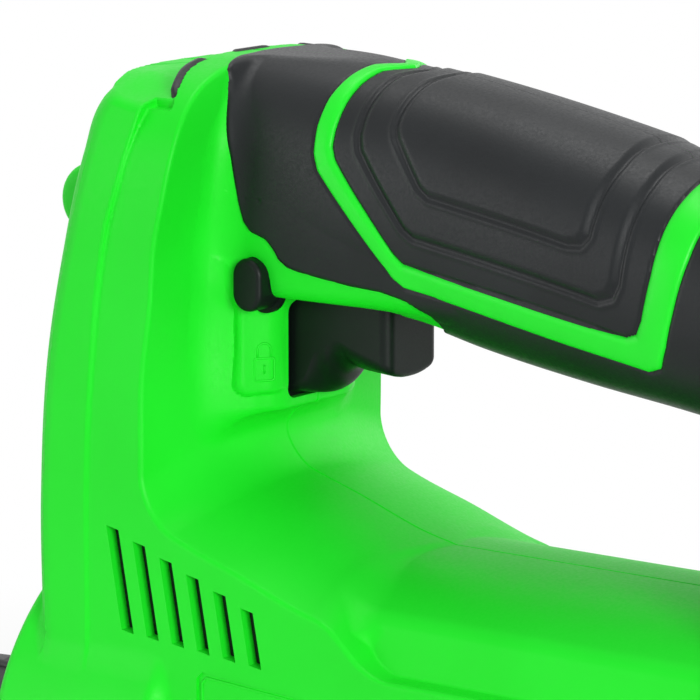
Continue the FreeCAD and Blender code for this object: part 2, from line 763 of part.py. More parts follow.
def armature():
    """The wound core: a slotted cylinder on the shaft, with its commutator."""
    r = MOTOR_R - MOTOR_T - TINY - MAGNET_T - AIR_GAP
    middle = (MOTOR_FRONT + MOTOR_REAR) / 2
    x0, x1 = middle - MAGNET_LEN / 2, middle + MAGNET_LEN / 2
    core = rod_x(r, x0, x1)
    slots = []
    for i in range(POLES):
        slot = box(x0 - 1, x1 + 1, -1.2, 1.2, AXIS_Z + r * 0.6, AXIS_Z + r + 1)
        slots.append(turned(slot, 360.0 * i / POLES))
    commutator = rod_x(r * 0.4, x0 - COMMUTATOR_LEN, x0)
    return joined([core.cut(slots), commutator]).cut(rod_x(SHAFT_R, -BIG, BIG))


FAN_X0 = MOTOR_REAR + FAN_FROM_MOTOR
FAN_X1 = FAN_X0 + FAN_LEN


def motor_shaft():
    return rod_x(SHAFT_R, MOTOR_FRONT - 2, FAN_X1 + NUT_LEN + 1)


def impeller():
    """An axial impeller: flat blades set at a pitch round a domed hub."""
    hub = joined([rod_x(FAN_HUB_R, FAN_X0, FAN_X1 - 6),
                  cone_x(FAN_HUB_R, FAN_HUB_R - 7, FAN_X1 - 6, FAN_X1)])
    chord = (FAN_LEN - 2) / math.sin(math.radians(BLADE_PITCH)) / 2
    middle = (FAN_X0 + FAN_X1) / 2
    blade = box(middle - BLADE_T / 2, middle + BLADE_T / 2, -chord, chord,
                AXIS_Z + FAN_HUB_R - 3, AXIS_Z + DUCT_R + 3)
    blade = turned(blade, 90 - BLADE_PITCH, Vector(middle, 0, AXIS_Z), Vector(0, 0, 1))
    sweep = rod_x(DUCT_R - FAN_GAP, FAN_X0 + 0.5, FAN_X1 - 0.5)
    blade = blade.common(sweep)
    blades = [turned(blade, 360.0 * i / FAN_BLADES) for i in range(FAN_BLADES)]
    return joined([hub] + blades).cut(rod_x(SHAFT_R, -BIG, BIG))


def impeller_nut():
    corners = [(NUT_R * math.cos(math.pi * i / 3), AXIS_Z + NUT_R * math.sin(math.pi * i / 3))
               for i in range(6)]
    return prism_x(corners, FAN_X1, FAN_X1 + NUT_LEN).cut(rod_x(SHAFT_R, -BIG, BIG))


def tail_cone():
    return cone_x(CONE_R, HUB_R, MOTOR_FRONT - CONE_LEN, MOTOR_FRONT - SEAT).cut(
        rod_x(SHAFT_R + 2, MOTOR_FRONT - 4, MOTOR_FRONT + 1))


# ================================================================ nozzle
COLLAR_FRONT = SHROUD_FRONT - COLLAR_REACH
COLLAR_IN = SPIGOT_R + SEAT
SPIGOT_REAR = COLLAR_FRONT + SPIGOT_LEN


def sector_x(x0, x1, half_angle, reach):
    """A wedge about the duct's axis, centred on the top."""
    a = math.radians(half_angle)
    return prism_x([(0, AXIS_Z), (reach * math.sin(a), AXIS_Z + reach * math.cos(a)),
                    (-reach * math.sin(a), AXIS_Z + reach * math.cos(a))], x0, x1)


LUG_X0 = SPIGOT_REAR - LUG_LEN - 3.0


def nozzle_collar():
    """The ring in front of the shroud, with two bayonet tracks in its bore."""
    sleeve = rod_x(COLLAR_IN + COLLAR_T, COLLAR_FRONT, SHROUD_FRONT)
    flange = rod_x(COLLAR_R, SHROUD_FRONT - COLLAR_FLANGE, SHROUD_FRONT)
    foot = rod_x(DUCT_R + COLLAR_T - 1.0, SHROUD_FRONT, DUCT_FRONT - SEAT)
    ring = joined([sleeve, rounded(flange, 1.0, lambda e: at(e, "x", SHROUD_FRONT - COLLAR_FLANGE)),
                   foot])
    ring = ring.cut(rod_x(COLLAR_IN, -BIG, BIG))
    track_r = SPIGOT_R + LUG_H + SEAT
    tracks = []
    for turn in (0.0, 180.0):
        run = sector_x(LUG_X0 - SEAT, LUG_X0 + LUG_LEN + SEAT, LUG_HALF + 1 + TWIST / 2, BIG)
        run = turned(run, TWIST / 2)
        mouth = turned(sector_x(COLLAR_FRONT - 1, LUG_X0 + LUG_LEN, LUG_HALF + 1, BIG), TWIST)
        track = joined([run, mouth]).common(rod_x(track_r, -BIG, BIG))
        tracks.append(turned(track, turn))
    return ring.cut(tracks)


def nozzle_tube():
    """The upper nozzle: a spigot with bayonet lugs, a ribbed ring and a long taper."""
    ring_x1 = COLLAR_FRONT - SLIDE
    ring_x0 = ring_x1 - RING_LEN
    end = ring_x0 - TUBE_LEN
    outer = [
        rod_x(SPIGOT_R, ring_x1, SPIGOT_REAR),
        rounded(rod_x(RING_R, ring_x0, ring_x1), 1.5, lambda e: abs(e.BoundBox.ZLength) > RING_R),
        cone_x(TUBE_R1, TUBE_R0, end + TIP_SOCKET, ring_x0),
        rod_x(TUBE_R1 - NOZZLE_T, end, end + TIP_SOCKET),
    ]
    ribs = []
    for i in range(RING_RIBS):
        rib = rod_x(RIB_R, ring_x0 + 2, ring_x1 - 2, 0.0, AXIS_Z + RING_R)
        ribs.append(turned(rib, 360.0 * i / RING_RIBS))
    lug = sector_x(LUG_X0, LUG_X0 + LUG_LEN, LUG_HALF, BIG)
    lug = lug.common(rod_x(SPIGOT_R + LUG_H, -BIG, BIG)).cut(rod_x(SPIGOT_R - 1, -BIG, BIG))
    form = joined(outer + ribs + [lug, turned(lug, 180.0)])
    bore = joined([
        rod_x(SPIGOT_R - NOZZLE_T, ring_x0, SPIGOT_REAR + 1),
        cone_x(TUBE_R1 - 2 * NOZZLE_T, TUBE_R0 - NOZZLE_T, end + TIP_SOCKET, ring_x0),
        rod_x(TUBE_R1 - 2 * NOZZLE_T, end - 1, end + TIP_SOCKET),
    ])
    return form.cut(bore)


def nozzle_tip():
    """The lower nozzle, pushed over the tube's end, with a round mouth."""
    rear = COLLAR_FRONT - SLIDE - RING_LEN - TUBE_LEN + TIP_SOCKET - SEAT
    front = rear - TIP_LEN
    outer = joined([
        rod_x(TUBE_R1 + 1.2, rear - TIP_SOCKET, rear),
        cone_x(TIP_R1, TUBE_R1 + 1.2, front + MOUTH_LEN, rear - TIP_SOCKET),
        rod_x(TIP_R1, front, front + MOUTH_LEN),
        rounded(rod_x(TIP_R1 + 1.4, front, front + 4.0), 1.0, lambda e: e.BoundBox.ZLength > TIP_R1),
    ])
    bore = joined([
        rod_x(TUBE_R1 - NOZZLE_T + TINY, rear - TIP_SOCKET - SEAT, rear + 1),
        cone_x(TIP_R1 - NOZZLE_T, TUBE_R1 - 2 * NOZZLE_T, front + MOUTH_LEN,
               rear - TIP_SOCKET - SEAT),
        rod_x(TIP_R1 - NOZZLE_T, front - 1, front + MOUTH_LEN),
    ])
    return outer.cut(bore)


# ================================================================ intake
def intake_grille(side):
    """A curved panel with upright slots, set in the window of one side."""
    (x0, x1), (z0, z1) = intake_window(SEAT)
    near, far = side * (BODY_R - 14), side * (BODY_R + 1)
    window = box(x0, x1, min(near, far), max(near, far), z0, z1)
    panel = rod_x(BODY_R, x0, x1).cut(rod_x(BODY_R - WALL, -BIG, BIG)).common(window)
    pitch = INTAKE_SLOT + INTAKE_RIB
    count = int((x1 - x0 - 2 * INTAKE_EDGE + INTAKE_RIB) / pitch)
    start = (x0 + x1 - (count * pitch - INTAKE_RIB)) / 2
    slots = []
    for i in range(count):
        x = start + i * pitch
        slots.append(box(x, x + INTAKE_SLOT, min(near, far), max(near, far),
                         z0 + INTAKE_EDGE, z1 - INTAKE_EDGE))
    return panel.cut(slots)


# ================================================================ battery
PACK_X0 = BODY_REAR + SHOE_T + SEAT
PACK_X1 = PACK_X0 + PACK_T
SPLIT_X = PACK_X0 + PACK_SPLIT


def battery_shoe():
    """The plate behind the body with the two rails that the battery hangs on."""
    plate = box(BODY_REAR, BODY_REAR + SHOE_T, -SHOE_W, SHOE_W, SHOE_Z0, SHOE_Z1)
    parts = [plate]
    x0 = BODY_REAR + SHOE_T
    for side in (-1, 1):
        y = [side * RAIL_IN, side * (RAIL_IN + RAIL_T), side * (RAIL_IN + RAIL_T + RAIL_LIP)]
        parts.append(box(x0, x0 + RAIL_OUT, min(y[:2]), max(y[:2]), SHOE_Z0 + 6, SHOE_Z1 - 22))
        parts.append(box(x0 + RAIL_OUT - 2.5, x0 + RAIL_OUT, min(y[0], y[2]), max(y[0], y[2]),
                         SHOE_Z0 + 6, SHOE_Z1 - 22))
    shoe = joined(parts)
    notch = box(BODY_REAR - 1, x0 + 1, -NOSE_W - SEAT, NOSE_W + SEAT,
                PACK_Z1 - LATCH_H + 1 - SEAT, BIG)
    window = box(BODY_REAR - 1, x0 + 1, -15, 15, 128, 150)
    return shoe.cut([notch, window])


def terminal_block():
    """The contact block in the shoe, with three upright blades."""
    x0 = BODY_REAR + SHOE_T
    block = box(BODY_REAR - WALL, x0, -15 + SEAT, 15 - SEAT, 128 + SEAT, 150 - SEAT)
    blades = []
    for y in (-9.0, 0.0, 9.0):
        blades.append(box(x0, x0 + 6.0, y - 0.5, y + 0.5, 132, 146))
    return joined([block] + blades)


def pack_form():
    form = box(PACK_X0, PACK_X1, -PACK_W, PACK_W, PACK_Z0, PACK_Z1)
    form = rounded(form, PACK_ROUND, lambda e: at(e, "x", PACK_X1) and (along(e, "y") or along(e, "z"))
                   or along(e, "x"))
    return form


def pack_space():
    return box(PACK_X0 + RAIL_OUT + 4, PACK_X1 - PACK_WALL, -PACK_W + PACK_WALL, PACK_W - PACK_WALL,
               PACK_Z0 + PACK_WALL, PACK_Z1 - LATCH_H - 3.5)


def latch_pocket(gap):
    return box(PACK_X0 - 1, PACK_X0 + 1 + LATCH_LEN + LATCH_TRAVEL + 4, -LATCH_W - gap,
               LATCH_W + gap, PACK_Z1 - LATCH_H - gap, PACK_Z1 + 1)


def battery_case_front():
    """The half of the battery case that carries the grooves for the rails."""
    form = pack_form().common(box(0, SPLIT_X, -BIG, BIG, 0, BIG))
    cuts = [pack_space(), latch_pocket(SLIDE)]
    for side in (-1, 1):
        a, b = side * (RAIL_IN - SEAT), side * (RAIL_IN + RAIL_T + SEAT)
        c = side * (RAIL_IN + RAIL_T + RAIL_LIP + SEAT)
        cuts.append(box(0, PACK_X0 + RAIL_OUT + SEAT, min(a, b), max(a, b), 0, SHOE_Z1 - 20))
        cuts.append(box(PACK_X0 + RAIL_OUT - 2.5 - 2 * SEAT, PACK_X0 + RAIL_OUT + SEAT,
                        min(a, c), max(a, c), 0, SHOE_Z1 - 20))
    for y in (-9.0, 0.0, 9.0):
        cuts.append(box(0, PACK_X0 + 7.5, y - 1.2, y + 1.2, 0, 148))
    return largest(form.cut(cuts))


def battery_case_rear():
    form = pack_form().common(box(SPLIT_X, BIG, -BIG, BIG, 0, BIG))
    cuts = [pack_space(), latch_pocket(SLIDE),
            rod_x(GAUGE_R + SLIDE / 2, PACK_X1 - PACK_WALL - 1, BIG, 0.0, GAUGE_Z)]
    for i in range(LIGHTS):
        y = (i - (LIGHTS - 1) / 2) * LIGHT_PITCH
        cuts.append(rod_x(LIGHT_R, PACK_X1 - PACK_WALL - 1, BIG, y, GAUGE_Z - 10))
    for i in range(4):
        z = PACK_Z0 + 22 + i * 9
        cuts.append(box(PACK_X1 - 0.8, BIG, -22, 22, z, z + 2.4))
    return largest(form.cut(cuts))


def cell_places():
    x0 = PACK_X1 - PACK_WALL - SEAT - CELL_R
    z0 = PACK_Z0 + PACK_WALL + SEAT + CELL_R
    return [(x0 - c * CELL_PITCH, z0 + r * CELL_PITCH)
            for c in range(CELL_COLUMNS) for r in range(CELL_ROWS)]


def battery_cells():
    cells = [rod_y(CELL_R, -CELL_LEN / 2, CELL_LEN / 2, x, z) for x, z in cell_places()]
    return Part.makeCompound(cells)


def cell_carriers():
    """Two plates whose holes hold the ends of the cells."""
    plates = []
    for y in (-CELL_LEN / 2 + 4, CELL_LEN / 2 - 4 - CARRIER_T):
        plate = box(PACK_X0 + RAIL_OUT + 4 + SEAT, PACK_X1 - PACK_WALL - SEAT / 2, y, y + CARRIER_T,
                    PACK_Z0 + PACK_WALL + SEAT / 2, PACK_Z1 - LATCH_H - 3.5 - SEAT)
        plate = plate.cut([rod_y(CELL_R + TINY, -BIG, BIG, x, z) for x, z in cell_places()])
        plates.append(largest(plate))
    return Part.makeCompound(plates)


def battery_latch():
    """The sliding catch on top of the pack, with its nose in the shoe's notch."""
    x0, z0 = PACK_X0 + 1, PACK_Z1 - LATCH_H + SEAT
    block = box(x0, x0 + LATCH_LEN, -LATCH_W, LATCH_W, z0, PACK_Z1 + LATCH_UP)
    block = rounded(block, 1.5, lambda e: at(e, "z", PACK_Z1 + LATCH_UP))
    nose = box(PACK_X0 - NOSE_OUT, x0, -NOSE_W, NOSE_W, z0 + 1, z0 + 1 + NOSE_H)
    ridges = [box(x0 + 4 + 3 * i, x0 + 5.2 + 3 * i, -LATCH_W + 3, LATCH_W - 3,
                  PACK_Z1 + LATCH_UP, PACK_Z1 + LATCH_UP + 0.8) for i in range(4)]
    return joined([block, nose] + ridges)


def gauge_button():
    button = rod_x(GAUGE_R, PACK_X1 - 1.0, PACK_X1 + GAUGE_OUT, 0.0, GAUGE_Z)
    return rounded(button, 0.5, lambda e: at(e, "x", PACK_X1 + GAUGE_OUT))


def gauge_lights():
    lights = []
    for i in range(LIGHTS):
        y = (i - (LIGHTS - 1) / 2) * LIGHT_PITCH
        lights.append(rod_x(LIGHT_R - TINY, PACK_X1 - PACK_WALL, PACK_X1 - 0.1, y, GAUGE_Z - 10))
    return Part.makeCompound(lights)


# ================================================================ fasteners, board, leads, sole
def housing_screws():
    """Pan-head screws that close the housing from the right-hand side."""
    screws = []
    for x, z, depth in SCREWS:
        head = rod_y(SCREW_HEAD_R, depth + TINY, depth + SCREW_HEAD_T, x, z)
        head = rounded(head, 0.8, lambda e, y=depth + SCREW_HEAD_T: at(e, "y", y))
        shank = rod_y(SCREW_R, depth - SCREW_LEN + SCREW_HEAD_T, depth + 1, x, z)
        slot_y = depth + SCREW_HEAD_T - 1.2
        cross = [box(x - 2, x + 2, slot_y, BIG, z - 0.4, z + 0.4),
                 box(x - 0.4, x + 0.4, slot_y, BIG, z - 2, z + 2)]
        screws.append(joined([head, shank]).cut(cross))
    return Part.makeCompound([largest(s) for s in screws])


def control_board():
    """The circuit board over the duct, with its power transistors and capacitor."""
    board = box(BOARD_X0, BOARD_X1, -BOARD_W, BOARD_W, BOARD_Z, BOARD_Z + BOARD_T)
    top = BOARD_Z + BOARD_T
    parts = [board, Part.makeCylinder(6.0, 12.0, Vector(BOARD_X1 - 22, 10, top))]
    for i in range(3):
        x = BOARD_X0 + 12 + 12 * i
        parts.append(box(x, x + 8, -18, -13.5, top, top + 12))
    parts.append(box(BOARD_X0 + 10, BOARD_X0 + 26, 4, 16, top, top + 7))
    return joined(parts)


def foot_sole():
    sole = box(-SKID_X + 2, SKID_X - 2, -SKID_W + 1.5, SKID_W - 1.5, 0, SKID_Z)
    sole = rounded(sole, 6.0, lambda e: along(e, "z"))
    grooves = [box(x, x + 2, -BIG, BIG, -1, 1.2) for x in (-60, -40, 38, 58)]
    return rounded(sole, SOLE_EDGE, lambda e: at(e, "z", 0)).cut(grooves)


def lead(points, radius):
    """A wire along straight runs joined by tangent arcs."""
    stops = [Vector(*p) for p in points]
    edges = []
    start = stops[0]
    for before, corner, after in zip(stops, stops[1:], stops[2:]):
        a, b = (before - corner), (after - corner)
        bend = math.pi - a.getAngle(b)
        r = 0.45 * min(a.Length, b.Length) / math.tan(bend / 2)
        cut = r * math.tan(bend / 2)
        u, v = a.normalize(), b.normalize()
        p, q = corner + u * cut, corner + v * cut
        inward = (u + v).normalize()
        middle = corner + inward * (r / math.cos(bend / 2) - r)
        edges.append(Part.makeLine(start, p))
        edges.append(Part.Arc(p, middle, q).toShape())
        start = q
    edges.append(Part.makeLine(start, stops[-1]))
    path = Part.Wire(edges)
    direction = stops[1] - stops[0]
    ring = Part.Wire(Part.makeCircle(radius, stops[0], direction))
    return path.makePipeShell([ring], True, True)


def battery_leads():
    """The two wires from the contact block to the control board."""
    wires = []
    for y in (-8.0, 8.0):
        wires.append(lead([(BODY_REAR - WALL, y, 139), (84, y, 139), (66, y, 122),
                           (BOARD_X1 - 4, y - 5, 120), (BOARD_X1 - 4, y - 5, BOARD_Z + BOARD_T)],
                          1.3))
    return Part.makeCompound([w.Solids[0] for w in wires])


def switch_leads():
    """The two wires from the switch, down the column to the control board."""
    wires = []
    for y in (-3.0, 3.0):
        wires.append(lead([(SWITCH_X0, y, SWITCH_Z + 12), (-59, y, SWITCH_Z + 12), (-65, y, 200),
                           (-72, y * 2, 184), (-84, y * 2, 160), (-82, y * 3, 131),
                           (-63, y * 3 + 4, 113), (BOARD_X0 + 4, y * 3 + 10, 114),
                           (BOARD_X0 + 4, y * 3 + 10, BOARD_Z + BOARD_T)], 1.1))
    return Part.makeCompound([w.Solids[0] for w in wires])


# ================================================================ assembly
def main():
    left, right = housing()
    save("housing_left", left)
    save("housing_right", right)
    grip = grip_ring()
    save("grip_left", largest(grip.common(box(-BIG, BIG, -BIG, 0, -BIG, BIG))))
    save("grip_right", largest(grip.common(box(-BIG, BIG, 0, BIG, -BIG, BIG))))

    save("trigger", trigger())
    guide = TRIGGER_W + SLIDE + GUIDE_T
    save("trigger_pin", rod_y(PIVOT_R, -guide, guide, PIVOT_X, PIVOT_Z))
    save("trigger_spring", coil(SPRING_R, WIRE_R, SWITCH_Z - TRIGGER_TOP, 5,
                                Vector(SPRING_X, 0, TRIGGER_TOP), Vector(0, 0, 1)))
    save("lock_button", lock_button())
    inner = -CHEEK_W + WALL + SEAT + LOCK_FLANGE
    save("lock_spring", coil(2.6, 0.35, -guide - inner, 4, Vector(LOCK_X, inner, LOCK_Z),
                             Vector(0, 1, 0)))
    save("speed_dial", speed_dial())
    save("dial_potentiometer", potentiometer())
    save("switch_module", switch_module())
    save("switch_cradle", switch_cradle())
    save("control_board", control_board())

    save("fan_duct", fan_duct())
    save("motor_can", motor_can())
    save("motor_end_cap", motor_end_cap())
    save("motor_magnets", magnets())
    save("motor_armature", armature())
    save("motor_shaft", motor_shaft())
    save("front_bearing", bearing(MOTOR_FRONT))
    save("rear_bearing", bearing(MOTOR_REAR - BEARING_W))
    save("impeller", impeller())
    save("impeller_nut", impeller_nut())
    save("tail_cone", tail_cone())

    save("nozzle_collar", nozzle_collar())
    save("nozzle_tube", nozzle_tube())
    save("nozzle_tip", nozzle_tip())
    save("intake_grille_left", intake_grille(-1))
    save("intake_grille_right", intake_grille(1))

    save("battery_shoe", battery_shoe())
    save("terminal_block", terminal_block())
    save("battery_case_front", battery_case_front())
    save("battery_case_rear", battery_case_rear())
    save("battery_cells", battery_cells())
    save("cell_carriers", cell_carriers())
    save("battery_latch", battery_latch())
    spring_x = PACK_X0 + 1 + LATCH_LEN
    save("latch_spring", coil(3.0, WIRE_R, LATCH_TRAVEL + 4, 4,
                              Vector(spring_x, 0, PACK_Z1 - LATCH_H / 2), Vector(1, 0, 0)))
    save("gauge_button", gauge_button())
    save("gauge_lights", gauge_lights())

    save("housing_screws", housing_screws())
    save("battery_leads", battery_leads())
    save("switch_leads", switch_leads())
    save("foot_sole", foot_sole())


main()
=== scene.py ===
import math

import bmesh
import bpy
import numpy as np
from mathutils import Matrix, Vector


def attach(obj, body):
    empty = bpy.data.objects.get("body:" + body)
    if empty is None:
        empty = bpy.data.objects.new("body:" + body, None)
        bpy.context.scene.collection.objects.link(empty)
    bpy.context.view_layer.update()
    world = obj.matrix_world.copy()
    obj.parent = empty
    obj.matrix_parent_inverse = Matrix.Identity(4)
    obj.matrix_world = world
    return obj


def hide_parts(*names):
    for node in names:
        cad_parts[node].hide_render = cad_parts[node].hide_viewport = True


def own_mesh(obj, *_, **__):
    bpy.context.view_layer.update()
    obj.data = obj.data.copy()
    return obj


# A cordless leaf blower's finish. Its shell is one form, a function of the place that is negative inside, and
# the trigger is another. Each is skinned with a mesh. The soft grip, its rib and smaller pieces lie on the shell.
# Lengths are millimetres: x runs from the nozzle to the battery, z is up, n is the distance from y = 0.
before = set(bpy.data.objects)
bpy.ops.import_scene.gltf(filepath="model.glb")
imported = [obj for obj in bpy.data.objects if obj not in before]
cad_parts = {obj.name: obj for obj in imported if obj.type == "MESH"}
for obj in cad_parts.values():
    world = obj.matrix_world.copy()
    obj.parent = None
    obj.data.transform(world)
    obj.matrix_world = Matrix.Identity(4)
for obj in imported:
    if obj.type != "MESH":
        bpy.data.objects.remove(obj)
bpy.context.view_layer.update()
MM = 0.001

# ---------------------------------------------------------------- sizes
AXIS_Z = 53.0            # height of the fan's axis
BODY_R = 44.0            # fan tube
DUCT_R = 38.6            # air duct inside the tube
SHROUD_R = 48.0          # thicker ring round the tube at the nozzle
SIDE_W = 39.5            # half width of the shell's flat sides
RAIL_W = 31.5            # half width of the rear roof at its edge
BODY_REAR = 98.0
TOP_Z = 228.1            # no green above this
COLUMN_ARCH_Z = 188.0    # where the column's sides start to arch inwards
COLUMN_ARCH_H = 40.1
ARCH_POWER = 3.4
DOME_Z = 222.0           # top of the front band at its sides
DOME_CROWN = 3.1         # how much higher its middle is
HANDLE_POWER = 2.4       # 2 is an oval section, more is squarer
POD_W = 20.0             # half width of the trigger's pod
POD_RIM_X = -60.0
TRIGGER_W = 8.4          # half width of the trigger
SKIN = 0.5               # how far the soft grip stands proud of the shell
LABEL_Y = 38.9           # floor of the label's recess
VENT_FLOOR = 37.0        # depth of the vents' floor, and of the black sheet on it that is painted shade for the dark inside of the housing
CLEAR = 60.0             # a cutter's outer end, clear of the shell
THIN_TO = 165000         # triangles in a shell half before its holes are cut


# ---------------------------------------------------------------- small tools
def smooth_line(points):
    """A line through the points: a cubic span between each two, its slope at a point that of the neighbours."""
    table = np.array(points, float)
    at, value = table[:, 0], table[:, 1]
    slope = np.gradient(value, at)
    fine = np.linspace(at[0], at[-1], 30 * len(at))
    k = np.clip(np.searchsorted(at, fine, side="right") - 1, 0, len(at) - 2)
    step = at[k + 1] - at[k]
    t = (fine - at[k]) / step
    curve = (value[k] * (1 + 2 * t) * (1 - t) ** 2 + value[k + 1] * t * t * (3 - 2 * t)
             + step * (slope[k] * t * (1 - t) ** 2 - slope[k + 1] * t * t * (1 - t)))
    return lambda v: np.interp(v, fine, curve)


def join(a, b, r):
    """Two solids as one, with a hollow fillet of radius r where they meet."""
    return np.maximum(r, np.minimum(a, b)) - np.hypot(np.maximum(r - a, 0), np.maximum(r - b, 0))


def meet(a, b, r):
    """What two solids share, with its edge rounded to radius r."""
    return np.minimum(-r, np.maximum(a, b)) + np.hypot(np.maximum(r + a, 0), np.maximum(r + b, 0))


def fade(v, low, high):
    """0 below low, 1 above high and an even S between them."""
    t = np.clip((v - low) / (high - low), 0, 1)
    return t * t * (3 - 2 * t)


def segment_distance(u, v, a, b):
    """Distance in a plane from the points (u, v) to the straight piece from a to b."""
    du, dv = b[0] - a[0], b[1] - a[1]
    t = np.clip(((u - a[0]) * du + (v - a[1]) * dv) / (du * du + dv * dv), 0, 1)
    return np.hypot(u - a[0] - t * du, v - a[1] - t * dv)


# ---------------------------------------------------------------- the shell's form
# lines up the column, at each z: x of the raised band's front, how far that front bulges, the band's half
# width, x of the step behind the band, of the crest where the column turns to its rear, of the hoop's front edge
band_front = smooth_line([(60, -101.6), (110, -101.6), (141, -101.8), (170, -99.4), (194, -94.3),
                          (210.6, -90.1), (219, -87.2), (222.5, -84.6), (230, -80)])
band_bulge = smooth_line([(60, 6), (141, 6.2), (170, 6.6), (194, 7.8), (210, 9.3), (223, 11.2),
                          (230, 11.4)])
band_side = smooth_line([(60, 40), (168, 40.2), (190, 40.5), (198, 40.5), (204, 40), (211, 38.6),
                         (217, 36.9), (223, 34.8), (230, 31)])
step_line = smooth_line([(60, -87.4), (115, -87.3), (156, -86.6), (172, -85), (182, -83.8), (192, -82),
                         (197, -81), (204, -79), (211, -77.5), (219, -76), (230, -75)])
crest_line = smooth_line([(60, -73.3), (150, -73.3), (167, -72.9), (183, -70.6), (193, -69.8),
                          (203, -67.8), (217, -66.6), (225, -67.3), (229, -68), (240, -68)])
hoop_front = smooth_line([(200, -70.2), (219, -70.3), (222, -71.4), (225, -73.6), (227, -75.6),
                          (229, -76.8), (240, -78)])
# lines back along the machine, at each x: z of the roof's ridge, the handle's top and bottom, its half width
roof_ridge = smooth_line([(-90, 165), (-75, 150.6), (-64.6, 145.8), (-50, 141.1), (-30.6, 134.9),
                          (-26, 134.1), (-20, 134), (120, 134)])
handle_top = smooth_line([(-82, 226.4), (-74, 227.6), (-60, 227.6), (-40, 225.6), (-16, 222.2), (8, 217.6),
                          (32, 212.0), (58, 204.2), (80, 196.8), (100, 189)])
handle_bottom = smooth_line([(-82, 184), (-68, 182.6), (-48, 181.6), (-28, 179.8), (-14, 176.8), (10, 173),
                             (34, 170), (58, 166.2), (80, 161), (100, 153)])
handle_width = smooth_line([(-82, 18.5), (-68, 19.5), (-48, 19.3), (-28, 19), (-12, 19), (10, 19.5),
                            (34, 19.5), (58, 19.3), (100, 18.5)])
# lines up the rear column, at each z: x of its front and rear, its half width
tail_front = smooth_line([(60, 48), (90, 50), (128, 56), (150, 57), (170, 58), (188, 60), (205, 62)])
tail_rear = smooth_line([(60, 98), (150, 98), (170, 97.5), (188, 94), (205, 84)])
tail_side = smooth_line([(60, 39.5), (90, 38), (128, 34), (150, 29), (170, 26), (188, 22), (205, 17)])


def handle_form(x, n, z):
    """Distance to the handle: a long tube whose section is a squarish oval between its top and bottom lines."""
    top, bottom, half = handle_top(x), handle_bottom(x), handle_width(x)
    up = z - (top + bottom) / 2
    oval = (np.abs(n) / half) ** HANDLE_POWER + (2 * np.abs(up) / (top - bottom)) ** HANDLE_POWER
    oval = oval ** (1 / HANDLE_POWER)
    return np.hypot(n, up) * (1 - 1 / np.maximum(oval, 0.05))


def side_form(n, z):
    """Distance to the shell's flat sides, which arch over towards the top of the column."""
    up = np.maximum(z - COLUMN_ARCH_Z, 0)
    arch = ((n / SIDE_W) ** ARCH_POWER + (up / COLUMN_ARCH_H) ** ARCH_POWER) ** (1 / ARCH_POWER)
    return np.where(up > 0, np.hypot(n, up) * (1 - 1 / np.maximum(arch, 0.05)), n - SIDE_W)


def body_form(x, n, z):
    """Distance to the column and the body under the handle.

    The rear is one outline, a wall that turns into a crowned roof and drops to a lower rear edge, cut off by
    the flat sides. In front of it stands a slightly wider band with a crowned top and a round bump on each side,
    and behind it the narrower roof that carries the battery's mount.
    """
    crown = z - DOME_Z - DOME_CROWN * (1 - fade(n, 20, 37)) + 1.3 * fade(x, -86, -76)
    front = band_front(z) - band_bulge(z) * (1 - (n / 36) ** 2) - x
    band = meet(meet(front, n - band_side(z), 4), crown, 1.8)
    band = meet(band, x - step_line(z), 0.7)
    inner = np.maximum(np.maximum(meet(front, n - 31, 3), crown), np.maximum(x + 70, 205 - z))
    bump = meet(np.hypot(x + 95.2, z - 199.5) - 7.3, np.abs(n - 21) - 9, 3)
    wall = x - crest_line(z) - 4.5 * (1 - fade(z, 160, 180)) * (1 - (n / 39) ** 2)
    roof = z - (roof_ridge(x) - 9.2 * (n / SIDE_W) ** 2)
    end = (x + 25 - 10 * (1 - n / 31)) * 0.672 + (z - 124.8) * 0.741
    lower = (z - 117.2 + 0.12 * (n - 30)) * 0.993
    outline = join(join(wall, meet(roof, end, 1.6), 8), lower, 3)
    rear = meet(outline, side_form(n, z), 0.9)
    ledge = np.minimum(z - 219.6, hoop_front(z) - x)
    rear = np.maximum(np.maximum(rear, front + 2), np.maximum(ledge, 53 - z))
    rail_wall = (n - RAIL_W - (126 - z) * 0.42) * 0.92
    rail = meet(z - (133.9 - 7.6 * (n / RAIL_W) ** 2.2), rail_wall, 1.4)
    rail = np.maximum(rail, np.maximum(110 - z, -60 - x))
    rear = join(rear, rail, 0.3 + 3.2 * fade(n, 8, 26) * fade(z, 120, 124))
    return np.minimum(join(join(band, bump, 2), rear, 0.6), inner)


def pod_form(x, n, z):
    """Distance to the trigger's pod: a block under the handle whose rear corners are cut off slantwise, with a
    raised plate on each slanted face, up to the bar beside the trigger."""
    slant = (x + 66) * 0.817 + (n - POD_W) * 0.577
    pod = meet(meet(n - POD_W, slant, 4), x - POD_RIM_X, 1.6)
    pod = meet(pod, 158.3 - z, 1.3)
    along = (x + 66) * 0.577 - (n - POD_W) * 0.817
    plate = np.hypot(np.maximum(np.abs(along - 7.2) - 3.4, 0), np.maximum(np.abs(z - 177) - 12.3, 0)) - 2.5
    pod = join(pod, meet(meet(slant - 0.9, plate, 0.9), x - POD_RIM_X, 1.2), 0.5)
    pod = np.maximum(pod, np.maximum(z - 186, -80 - x))
    bar_half = 19.6 - 3.4 * np.clip((x + 60) / 48, 0, 1) ** 1.4
    bar_low = 182.2 + 0.6 * fade(x, -50, -20)
    bar = meet(n - bar_half, bar_low - z, 3.4)
    bar = np.maximum(np.maximum(bar, z - 200), np.maximum(x + 12, -80 - x))
    return join(pod, bar, 4.5)


